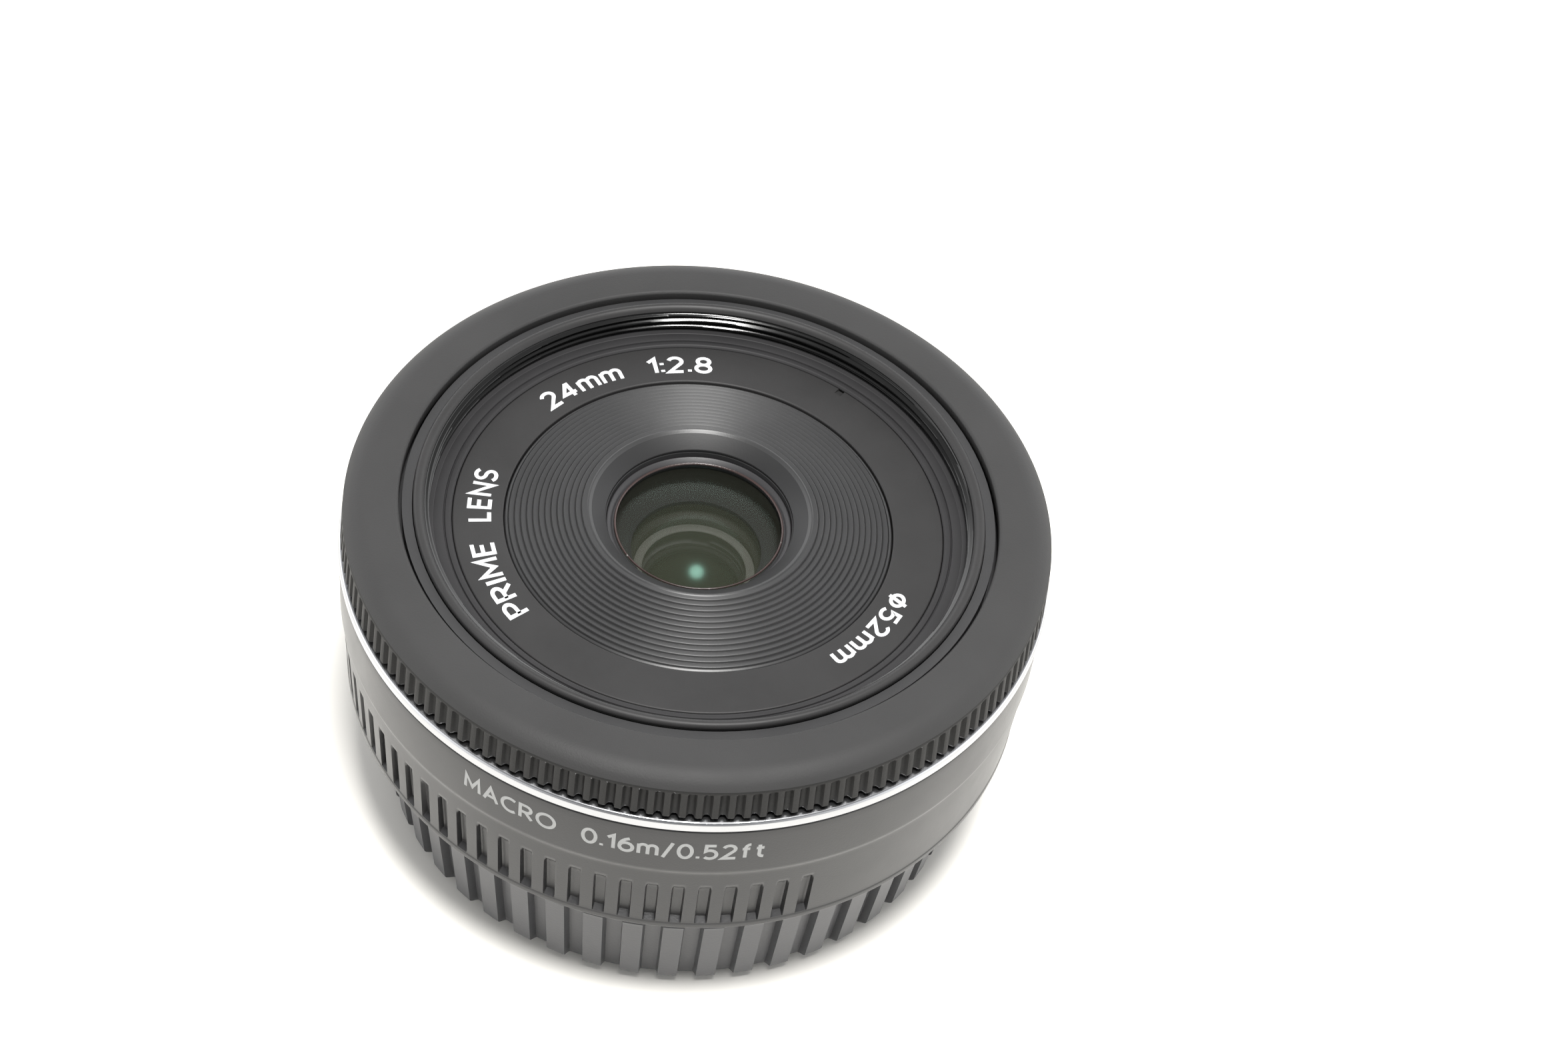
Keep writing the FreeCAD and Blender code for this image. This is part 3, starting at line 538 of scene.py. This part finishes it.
def barrel_angles(centres):
    """Angles dense over the grooves and sparse elsewhere, with lines on the cut-outs."""
    angles = set(np.round(np.arange(0, 360, 1.25), 4).tolist())
    for centre in centres:
        for k in range(-GROOVE_STEPS // 2, GROOVE_STEPS // 2 + 1):
            angles.add(round((centre + k * GRIP_PITCH / GROOVE_STEPS) % 360.0, 4))
    for middle, half in ((SWITCH_ANGLE, CUTOUT_HALF), (INDEX_ANGLE, INDEX_HALF + 0.01)):
        for edge in (middle - half, middle + half):
            angles.add(round(edge % 360.0, 4))
    kept = []
    for angle in sorted(angles):
        if not kept or angle - kept[-1] > 0.02:
            kept.append(angle)
    return kept


def outer_barrel_piece():
    """Shell with two bands of short grooves, a window for the switch and a recess for the index mark."""
    bore_r = 32.5
    throat_r = 30.85
    outside_r = 33.2
    outline = rounded([
        (throat_r, BARREL_BOTTOM), (33.3, BARREL_BOTTOM, 0.1), (33.5, 15.5, 0.1), (33.5, 16.05, 0.08),
        (33.44, LIP_TOP, 0.05), (33.82, GRIP_TOP, 0.25), (BARREL_R, RIDGE_Z, 0.25),
        (BARREL_R, CUTOUT_TOP, 0), (BARREL_R, 31.05, 0.06), (33.86, PARTING_Z, 0.03), (bore_r, PARTING_Z),
        (bore_r, CUTOUT_TOP, 0), (bore_r, CUTOUT_BOTTOM, 0), (bore_r, LIP_TOP), (throat_r, LIP_TOP),
    ], 0.05)
    outline = densified(outline, 0.4, lambda r, z: r > outside_r and z < GRIP_TOP)
    centres = groove_angles()

    def shape(r, z, a):
        gap = angle_between(a[..., None], centres).min(-1)
        across = 1 - smoothstep(0.78, 0.98, gap)
        along = smoothstep(LIP_TOP + 0.05, LIP_TOP + 0.25, z) * (1 - smoothstep(21.5, 22.45, z))
        depth = GROOVE_DEPTH - 0.12 * smoothstep(17.0, 22.0, z)
        index = (angle_between(a, INDEX_ANGLE) < INDEX_HALF) & (np.abs(z - INDEX_Z) < 1.0)
        cut = across * along * depth + index * INDEX_DEPTH
        return r - np.where(r > outside_r, cut, 0.0), z

    def skip(r, z, a):
        beside = angle_between(a, SWITCH_ANGLE) < CUTOUT_HALF
        return beside & (z > CUTOUT_BOTTOM) & (z < CUTOUT_TOP) & (r > 32.0)

    body = turned(outline, barrel_angles(centres), shape, skip)
    piece = mesh_object("barrel_shell", [body], "barrel_plastic", sharp=40.0)
    stands_for(piece, "lens_body", "barrel_plastic", "outer_barrel")


# ---------------------------------------------------------------- rear cap

CAP_RIBS = 50
CAP_RIB_STEPS = 20
CAP_RIB_DEPTH = 0.86
CLAW_ANGLES = (30.0, 150.0, 270.0)
CLAW_HALF = 23.0


def rear_cap_piece():
    """Cup with tall ribs under a plain band, and three claws for the bayonet inside."""
    bore_r = 28.4
    floor_z = 1.8
    outline = rounded([
        (bore_r, CAP_TOP, 0.15), (bore_r, 2.7, 0.4), (27.5, floor_z, 0.4), (0.02, floor_z), (0.02, 0.6),
        (11.7, 0.6, 0.2), (12.2, 0.0, 0.2), (27.7, 0.0, 0.6), (28.5, 0.5, 0.5), (28.75, 1.4, 0.5),
        (29.85, 11.2, 0.2), (30.45, 11.6, 0.2), (30.6, 12.2, 0.2), (30.65, 14.1, 0.15), (30.4, CAP_TOP, 0.1),
    ], 0.1, 4)
    outline = densified(outline, 0.4, lambda r, z: r > 28.45 and 0.2 < z < 12.2)

    def shape(r, z, a):
        wave = rib_wave(a, CAP_RIBS, 0.50, 0.10)
        outer = (r > 28.0) & (z < 12.4) & (z > 0.15)
        inside = (r < bore_r + 0.01) & (z > floor_z)
        reach = smoothstep(0.25, 1.5, z) * (1 - smoothstep(11.2, 11.7, z))
        return r + np.where(outer & ~inside, wave * reach * CAP_RIB_DEPTH, 0.0), z

    body = turned(outline, even_angles(CAP_RIBS * CAP_RIB_STEPS), shape)
    claws = [sector_block(26.5, 28.5, 13.25, CAP_TOP - 0.05, middle - CLAW_HALF, middle + CLAW_HALF)
             for middle in CLAW_ANGLES]
    piece = mesh_object("cap_shell", [body] + claws, "cap_plastic", sharp=35.0)
    stands_for(piece, "rear_cap", "cap_plastic", "rear_cap")


# ---------------------------------------------------------------- front of the moving barrel

THREAD_R = 26.02
THREAD_BOTTOM = 34.95
THREAD_TOP = 37.1
THREAD_PITCH = 0.75
THREAD_DEPTH = 0.42
THREAD_STEP = 0.0405
LEDGE_Z = 34.84


def thread_tooth(phase):
    """Height of the thread's flat-topped tooth over one pitch, from 0 to 1."""
    return np.clip((phase - 0.08) / 0.32, 0, 1) * np.clip((0.92 - phase) / 0.32, 0, 1)


def inner_barrel_piece():
    """Moving barrel: rim, filter thread, a stepped ledge and the seat of the front cell."""
    sleeve_z = 32.6
    outline = rounded([
        (17.6, 24.7), (19.0, 24.7), (19.0, 18.2), (20.24, 18.2), (20.24, sleeve_z), (26.2, sleeve_z),
        (26.2, 28.9), (GROUP_R, 28.9), (GROUP_R, 37.35, 0.25), (26.85, FRONT_Z, 0.2), (26.5, FRONT_Z, 0.2),
        (26.25, 37.42, 0.2), (THREAD_R, THREAD_TOP, 0.1), (THREAD_R, THREAD_BOTTOM, 0.05),
        (25.95, 34.9, 0.03), (25.2, 34.9, 0.05),
    ], 0.03)
    outline += rounded([
        (25.15, 34.88, 0.02), (24.28, 34.86, 0.02), (24.22, 34.66, 0.02), (24.14, 34.66, 0.02),
        (24.08, LEDGE_Z, 0.02), (23.66, LEDGE_Z, 0.05), (23.45, 34.62, 0.05), (23.45, 33.9), (17.0, 33.9),
        (17.0, 33.1), (19.0, sleeve_z), (19.0, 25.5), (17.6, 25.5),
    ], 0.02, 2)
    outline = densified(outline, THREAD_STEP, lambda r, z: abs(r - THREAD_R) < 0.01 and 35.5 < z < 36.5)

    def shape(r, z, a):
        on_wall = (np.abs(r - THREAD_R) < 0.01) & (z > THREAD_BOTTOM) & (z < THREAD_TOP)
        phase = (z / THREAD_PITCH + a / 360.0) % 1.0
        run_in = smoothstep(THREAD_BOTTOM + 0.05, THREAD_BOTTOM + 0.3, z)
        run_out = smoothstep(THREAD_TOP - 0.35, THREAD_TOP - 0.1, z)
        tooth = thread_tooth(phase) * run_in * (1 - run_out)
        return r - np.where(on_wall, tooth * THREAD_DEPTH, 0.0), z

    body = turned(outline, even_angles(540), shape)
    piece = mesh_object("moving_barrel", [body], "cup_black", sharp=40.0)
    finished(piece, "ledge_grey", lambda r, z: 23.4 < r < 25.9 and 34.4 < z < 34.95)
    finished(piece, "name_black", lambda r, z: z > THREAD_TOP + 0.02)
    stands_for(piece, "moving_group", "gloss_black", "inner_barrel")


def name_ring_piece():
    """Flat lettered ring with a small notch near its outer edge."""
    inner_r = 18.6
    notch_angle = 57.1
    notch_edges = [56.2, 56.3, 57.9]
    outline = rounded([
        (inner_r, NAME_RING_BOTTOM), (NAME_RING_R, NAME_RING_BOTTOM), (NAME_RING_R, 34.62, 0.05),
        (23.3, NAME_RING_Z, 0.05), (22.55, NAME_RING_Z, 0.01), (inner_r + 0.12, NAME_RING_Z, 0.05),
        (inner_r, 34.6, 0.05),
    ], 0.02)
    angles = sorted(np.arange(360.0).tolist() + notch_edges)

    def shape(r, z, a):
        notch = (r > 22.6) & (z > 34.3) & (angle_between(a, notch_angle) < 0.82)
        return r, z - np.where(notch, 0.25, 0.0)

    piece = mesh_object("name_plate", [turned(outline, angles, shape)], "name_black")
    stands_for(piece, "moving_group", "black_plastic", "name_ring")


def front_cone_piece():
    """Funnel at the glass and a shallow cone of stepped grooves round it."""
    grooves = 13
    inner_r = 10.76
    outer_r = 18.2
    high = 36.1
    low = 34.55
    throat_r = 8.95
    seat_z = 33.9
    pitch = (outer_r - inner_r) / grooves
    fall = (high - low) / grooves
    corners = [(throat_r, 34.65, 0.02), (throat_r, 34.9, 0.08), (10.35, 35.92, 0.25), (10.62, 36.12, 0.1)]
    for i in range(grooves):
        r = inner_r + pitch * i
        z = high - fall * i
        corners.append((r + 0.04 * pitch, z - 0.05, 0.03))
        corners.append((r + 0.78 * pitch, z + 0.01, 0.05))
        corners.append((r + 0.90 * pitch, z - fall - 0.12, 0.02))
    corners += [(outer_r, low + 0.01, 0.05), (18.44, 34.48, 0.08), (18.55, 34.2, 0.05), (18.55, seat_z),
                (17.2, seat_z), (11.0, 35.1), (10.25, 34.65)]
    body = turned(rounded(corners, 0.02), even_angles(480))
    piece = mesh_object("front_cone", [body], "cone_black", sharp=40.0)
    finished(piece, "funnel_black", lambda r, z: r < 10.3)
    stands_for(piece, "moving_group", "black_plastic", "front_baffle")


def front_retainer_piece():
    """Threaded ring that holds the front element."""
    inner_r = 8.1
    outer_r = 8.85
    seat_z = 33.35
    outline = rounded([
        (inner_r, seat_z), (outer_r, seat_z), (outer_r, 34.1, 0.1), (8.72, 34.15, 0.08), (8.2, 33.72, 0.1),
        (inner_r, 33.6, 0.05),
    ], 0.02)
    piece = mesh_object("glass_retainer", [turned(outline, even_angles(240))], "retainer_grey")
    stands_for(piece, "moving_group", "gloss_black", "front_retainer")


def glass_rim_piece():
    """Ground, blackened edge of the front element, showing inside the retainer."""
    inner_r = 7.92
    seat_z = 33.9
    outline = rounded([
        (inner_r, seat_z), (8.12, seat_z), (8.12, 34.02, 0.03), (8.05, 34.06, 0.03), (inner_r, 33.96, 0.02),
    ], 0.01)
    piece = mesh_object("glass_rim", [turned(outline, even_angles(240))], "rim_speckle")
    stands_for(piece, "moving_group", "gloss_black")


def stop_rim_piece():
    """Bevelled edge of the fixed stop, seen through the front lenses; its light grey is painted highlight,
    standing in for the bright arc seen in the front glass.
    """
    seat_z = 27.38
    outline = rounded([
        (5.05, seat_z), (5.95, seat_z), (5.9, 27.48, 0.04), (5.5, 27.58, 0.3), (5.1, 27.48, 0.04),
    ], 0.01, 4)
    piece = mesh_object("stop_rim", [turned(outline, even_angles(240))], "stop_painted_highlight_grey")
    stands_for(piece, "moving_group", "black_plastic")


# ---------------------------------------------------------------- glass

# Each element: height of its front and signed front radius, the same at the rear,
# edge radius, front and rear clear radius, and its finish
ELEMENTS = {
    "lens_1": (34.35, 30.0, 33.2, 9.5, 8.75, 8.75, 6.6, "front_glass"),
    "lens_2": (30.8, 25.0, 28.2, -60.0, 6.8, 6.8, 6.8, "second_glass_painted_reflection"),
    "lens_3": (23.3, -20.0, 22.5, 15.0, 6.2, 6.2, 6.2, "optical_glass"),
    "lens_4": (22.49, 15.0, 19.3, -16.0, 6.2, 6.2, 6.2, "optical_glass"),
    "lens_5": (19.05, -40.0, 17.2, -14.0, 7.4, 7.4, 7.4, "optical_glass"),
    "lens_6": (16.9, -18.0, 15.75, -24.0, 9.0, 9.0, 8.6, "optical_glass"),
}
WELD_DISTANCE = 1e-8


def sphere_arc(vertex, radius, reach, steps=28):
    """Points from the axis out along a spherical surface; a positive radius bulges upward."""
    r = np.linspace(0, reach, steps + 1)
    sag = abs(radius) - np.sqrt(radius * radius - r * r)
    return list(zip(r, vertex - math.copysign(1, radius) * sag))


def weld_axis(mesh):
    """Joins the points that coincide on the axis."""
    welded = bmesh.new()
    welded.from_mesh(mesh)
    bmesh.ops.remove_doubles(welded, verts=welded.verts, dist=WELD_DISTANCE)
    welded.to_mesh(mesh)
    welded.free()


def lens_pieces():
    """Polished spherical surfaces with ground edges."""
    for name, element in ELEMENTS.items():
        front_z, front_radius, rear_z, rear_radius, edge, front_reach, rear_reach, finish = element
        front = sphere_arc(front_z, front_radius, front_reach)
        rear = sphere_arc(rear_z, rear_radius, rear_reach)
        outline = front[::-1] + rear + [(edge, rear[-1][1])]
        body = turned(outline, even_angles(180), skip=lambda r, z, a: r < 1e-6)
        piece = mesh_object(name.replace("lens", "glass"), [body], finish)
        weld_axis(piece.data)
        stands_for(piece, "moving_group", "optical_glass", name)


# ---------------------------------------------------------------- lettering

PEN = 0.165
GAP = 0.27
FILL_LOW = -0.01
FILL_HIGH = 0.012
FILL_STEP = 0.001
RING_TEXT_R = 19.75
CAPITAL = 2.32


def arc(cx, cy, rx, ry, start, end, steps=12):
    """Points of an elliptical arc between two angles in degrees."""
    turns = np.radians(np.linspace(start, end, steps + 1))
    return [(cx + rx * math.cos(t), cy + ry * math.sin(t)) for t in turns]


def dot(x, y):
    """Stroke short enough to be a square dot."""
    return [(x, y - 0.075), (x, y + 0.075)]


ARCH = arc(0.2, 0.50, 0.2, 0.22, 180, 0)

# Each glyph: width and pen strokes, for a capital height of 1
GLYPHS = {
    "P": (0.54, [[(0, 0), (0, 1), (0.28, 1)] + arc(0.28, 0.73, 0.26, 0.27, 90, -90) + [(0, 0.46)]]),
    "R": (0.58, [[(0, 0), (0, 1), (0.28, 1)] + arc(0.28, 0.74, 0.26, 0.26, 90, -90) + [(0, 0.48)],
                 [(0.26, 0.48), (0.58, 0)]]),
    "I": (0.0, [[(0, 0), (0, 1)]]),
    "M": (0.78, [[(0, 0), (0.04, 1), (0.39, 0.24), (0.74, 1), (0.78, 0)]]),
    "E": (0.50, [[(0.5, 1), (0, 1), (0, 0), (0.5, 0)], [(0, 0.53), (0.44, 0.53)]]),
    "L": (0.46, [[(0, 1), (0, 0), (0.46, 0)]]),
    "N": (0.60, [[(0, 0), (0, 1), (0.6, 0), (0.6, 1)]]),
    "S": (0.54, [arc(0.28, 0.755, 0.25, 0.245, 30, 255, 14) + arc(0.26, 0.255, 0.28, 0.255, 75, -150, 14)]),
    "A": (0.70, [[(0, 0), (0.35, 1), (0.7, 0)], [(0.13, 0.33), (0.57, 0.33)]]),
    "C": (0.66, [arc(0.42, 0.5, 0.42, 0.5, 55, 305, 20)]),
    "O": (0.84, [arc(0.42, 0.5, 0.42, 0.5, 0, 360, 28)]),
    "m": (0.80, [[(0, 0), (0, 0.72)], ARCH + [(0.4, 0)], [(x + 0.4, y) for x, y in ARCH] + [(0.8, 0)]]),
    "f": (0.36, [arc(0.36, 0.76, 0.22, 0.24, 90, 180) + [(0.14, 0)], [(0, 0.68), (0.34, 0.68)]]),
    "t": (0.36, [[(0.14, 0.92)] + arc(0.34, 0.2, 0.2, 0.2, 180, 270), [(0, 0.68), (0.34, 0.68)]]),
    "0": (0.58, [arc(0.29, 0.5, 0.29, 0.5, 0, 360, 24)]),
    "1": (0.26, [[(0, 0.78), (0.26, 1), (0.26, 0)]]),
    "2": (0.58, [arc(0.28, 0.73, 0.26, 0.27, 160, -38, 14) + [(0, 0), (0.58, 0)]]),
    "4": (0.64, [[(0.46, 0), (0.46, 1)], [(0.43, 0.96), (0.02, 0.27), (0.64, 0.27)]]),
    "5": (0.54, [[(0.5, 1), (0.08, 1), (0.06, 0.56)] + arc(0.25, 0.32, 0.29, 0.32, 115, -140, 16)]),
    "6": (0.58, [arc(0.29, 0.31, 0.29, 0.31, 0, 360, 20), arc(0.62, 0.32, 0.62, 0.68, 108, 180)]),
    "8": (0.58, [arc(0.29, 0.76, 0.23, 0.24, 0, 360, 20), arc(0.29, 0.26, 0.29, 0.26, 0, 360, 20)]),
    "ø": (0.66, [arc(0.33, 0.40, 0.30, 0.34, 0, 360, 24), [(0.21, -0.12), (0.45, 0.96)]]),
    "/": (0.40, [[(0, -0.08), (0.4, 1.08)]]),
    ":": (0.0, [dot(0, 0.1), dot(0, 0.6)]),
    ".": (0.0, [dot(0, 0.075)]),
}


def pen_stroke(points, half, low, high):
    """Closed flat bar of constant width along a polyline, with mitred corners."""
    path = np.array(points, float)
    steps = np.linalg.norm(np.diff(path, axis=0), axis=1)
    path = path[np.r_[True, steps > 1e-6]]
    closed = np.linalg.norm(path[0] - path[-1]) < 1e-6
    if closed:
        path = path[:-1]
        before = path - np.roll(path, 1, 0)
        after = np.roll(path, -1, 0) - path
    else:
        steps = np.diff(path, axis=0)
        before = np.vstack([steps[:1], steps])
        after = np.vstack([steps, steps[-1:]])
    before /= np.linalg.norm(before, axis=1, keepdims=True)
    after /= np.linalg.norm(after, axis=1, keepdims=True)
    along = before + after
    along /= np.linalg.norm(along, axis=1, keepdims=True)
    cosine = np.clip((along * after).sum(1), 0.35, 1.0)[:, None]
    side = np.stack([-along[:, 1], along[:, 0]], 1) * half / cosine
    count = len(path)
    rings = [np.c_[path + sign * side, np.full(count, level)]
             for sign, level in ((1, high), (-1, high), (-1, low), (1, low))]
    vertices = np.stack(rings, 1).reshape(-1, 3)
    faces = []
    for i in range(count if closed else count - 1):
        j = (i + 1) % count
        for k in range(4):
            n = (k + 1) % 4
            faces.append([4 * i + k, 4 * i + n, 4 * j + n, 4 * j + k])
    if not closed:
        last = 4 * (count - 1)
        faces.append([3, 2, 1, 0])
        faces.append([last, last + 1, last + 2, last + 3])
    return vertices, faces


def text_mesh(text, height, width):
    """Lettering drawn with a flat pen, in millimetres: x along the line, y up, z the fill's depth."""
    vertices = []
    faces = []
    x = PEN / 2
    for letter in text:
        advance, strokes = GLYPHS[letter]
        for i, stroke in enumerate(strokes):
            placed = [(x + px, PEN / 2 + py * (1 - PEN)) for px, py in stroke]
            points, polygons = pen_stroke(placed, PEN / 2, FILL_LOW, FILL_HIGH + FILL_STEP * i)
            offset = len(vertices)
            vertices.extend(points.tolist())
            faces.extend([[offset + index for index in polygon] for polygon in polygons])
        x += advance + GAP
    total = x - GAP + PEN / 2
    points = np.array(vertices)
    points[:, 0] *= width / total
    points[:, 1] *= height
    return points, faces


def ring_text(text, start, end, height=CAPITAL):
    """Text lying on the name ring, tops outward, read clockwise from start to end degrees."""
    middle_r = RING_TEXT_R + height / 2
    points, faces = text_mesh(text, height, math.radians(start - end) * middle_r)
    angle = math.radians(start) - points[:, 0] / middle_r
    r = RING_TEXT_R + points[:, 1]
    return np.stack([r * np.cos(angle), r * np.sin(angle), NAME_RING_Z + points[:, 2]], 1) * MM, faces


def barrel_text(text, start, end, base_z, height):
    """Text standing on the barrel's side, read from start to end degrees."""
    points, faces = text_mesh(text, height, math.radians(end - start) * BARREL_R)
    angle = math.radians(start) + points[:, 0] / BARREL_R
    r = BARREL_R + points[:, 2]
    return np.stack([r * np.cos(angle), r * np.sin(angle), base_z + points[:, 1]], 1) * MM, faces


def lettering_pieces():
    """Sizes on the name ring, and the closest focus on the barrel."""
    ring_parts = [
        ring_text("PRIME", -137.0, -163.5),
        ring_text("LENS", -170.6, -189.4),
        ring_text("24mm", 141.7, 116.8),
        ring_text("1:2.8", 109.4, 91.2),
        ring_text("ø52mm", -18.2, -48.3, 2.1),
    ]
    piece = mesh_object("ring_lettering", ring_parts, "letter_white", sharp=60.0)
    stands_for(piece, "moving_group", "white_mark")
    side_parts = [
        barrel_text("MACRO", -122.7, -106.4, 27.2, 2.2),
        barrel_text("0.16m/0.52ft", -102.4, -74.2, 27.1, 2.3),
    ]
    piece = mesh_object("side_lettering", side_parts, "letter_grey", sharp=60.0)
    stands_for(piece, "lens_body", "white_mark")


# ---------------------------------------------------------------- build

focus_ring_piece()
accent_ring_piece()
outer_barrel_piece()
rear_cap_piece()
inner_barrel_piece()
name_ring_piece()
front_cone_piece()
front_retainer_piece()
glass_rim_piece()
stop_rim_piece()
lens_pieces()
lettering_pieces()


# ---------------------------------------------------------------- stage

FLOOR_SIZE = 4.0
FLOOR_SCALE = 14.0
FLOOR_DARK = (0.87, 0.855, 0.815)
FLOOR_LIGHT = (0.89, 0.875, 0.835)
PAPER_LIGHT = 2.7
PAPER_TOP = 0.36
ROOM_LIGHT = 0.52
ROOM_BOTTOM = 0.60
FRONT_SHARE = 0.15
SKY_COLOUR = (0.99, 0.995, 1.0, 1.0)
LAMP_PLACE = (0.04, -0.17, 0.74)
LAMP_AIM = (0, 0, 0.03)
LAMP_SIZE = 0.20
LAMP_POWER = 9.0
LAMP_COLOUR = (1.0, 0.99, 0.975)


def white_floor():
    """Warm white paper under the lens."""
    bpy.ops.mesh.primitive_grid_add(x_subdivisions=2, y_subdivisions=2, size=FLOOR_SIZE, location=(0, 0, 0))
    floor = bpy.context.object
    floor.name = "floor"
    tree, shader = new_material("floor_white")
    soft = noise(tree, coordinates(tree), FLOOR_SCALE)
    base = ramp(tree, soft, [(0.3, FLOOR_DARK), (0.7, FLOOR_LIGHT)])
    tree.links.new(base, shader.inputs["Base Color"])
    shader.inputs["Roughness"].default_value = 0.6
    shader.inputs["Specular IOR Level"].default_value = 0.2
    floor.data.materials.append(MATERIALS["floor_white"])


def world():
    """Bright paper all round up to a low height, a dim room above, both darker on the camera's side."""
    scene_world = bpy.data.worlds.new("studio")
    bpy.context.scene.world = scene_world
    scene_world.use_nodes = True
    tree = scene_world.node_tree
    background = tree.nodes["Background"]
    background.inputs["Color"].default_value = SKY_COLOUR
    split = add_node(tree, "ShaderNodeSeparateXYZ")
    tree.links.new(add_node(tree, "ShaderNodeTexCoord").outputs["Generated"], split.inputs[0])
    band = remapped(tree, split.outputs["Z"], PAPER_LIGHT, ROOM_LIGHT, PAPER_TOP, ROOM_BOTTOM)
    side = remapped(tree, split.outputs["Y"], FRONT_SHARE, 1.0, -0.95, -0.05)
    product = add_node(tree, "ShaderNodeMath", operation="MULTIPLY")
    tree.links.new(band, product.inputs[0])
    tree.links.new(side, product.inputs[1])
    tree.links.new(product.outputs[0], background.inputs["Strength"])


CAMERA_ELEVATION = math.radians(47.2296)
CAMERA_DISTANCE = 265.764
CAMERA_YAW = math.radians(-1.71646)
CAMERA_PITCH = math.radians(-0.28155)
CAMERA_ROLL = math.radians(6.5158)
SENSOR_WIDTH = 36.0
FOCAL_LENGTH = 64.549


def camera():
    """Camera that looks at the middle of the lens's front face, then turned a little."""
    data = bpy.data.cameras.new("camera")
    data.sensor_width = SENSOR_WIDTH
    data.sensor_fit = "HORIZONTAL"
    data.lens = FOCAL_LENGTH
    data.clip_start = 0.01
    data.clip_end = 10.0
    thing = bpy.data.objects.new("camera", data)
    bpy.context.scene.collection.objects.link(thing)
    back = Vector((0, -math.cos(CAMERA_ELEVATION), math.sin(CAMERA_ELEVATION)))
    right = Vector((1, 0, 0))
    turn = Matrix((right, back.cross(right), back)).transposed()
    turn = turn @ Matrix.Rotation(CAMERA_YAW, 3, "Y") @ Matrix.Rotation(CAMERA_PITCH, 3, "X")
    turn = turn @ Matrix.Rotation(CAMERA_ROLL, 3, "Z")
    place = back * CAMERA_DISTANCE + Vector((0, 0, FRONT_Z))
    thing.matrix_world = Matrix.Translation(place * MM) @ turn.to_4x4()
    bpy.context.scene.camera = thing


def lamp():
    """Round lamp above the camera, mirrored by the glass and by the far side of the thread."""
    data = bpy.data.lights.new("lamp", "AREA")
    data.energy = LAMP_POWER
    data.color = LAMP_COLOUR
    data.size = LAMP_SIZE
    data.shape = "DISK"
    light = bpy.data.objects.new("lamp", data)
    light.location = LAMP_PLACE
    direction = Vector(LAMP_AIM) - Vector(LAMP_PLACE)
    light.rotation_euler = direction.to_track_quat("-Z", "Y").to_euler()
    bpy.context.scene.collection.objects.link(light)


white_floor()
world()
camera()
lamp()

bpy.context.scene.view_settings.view_transform = "Standard"
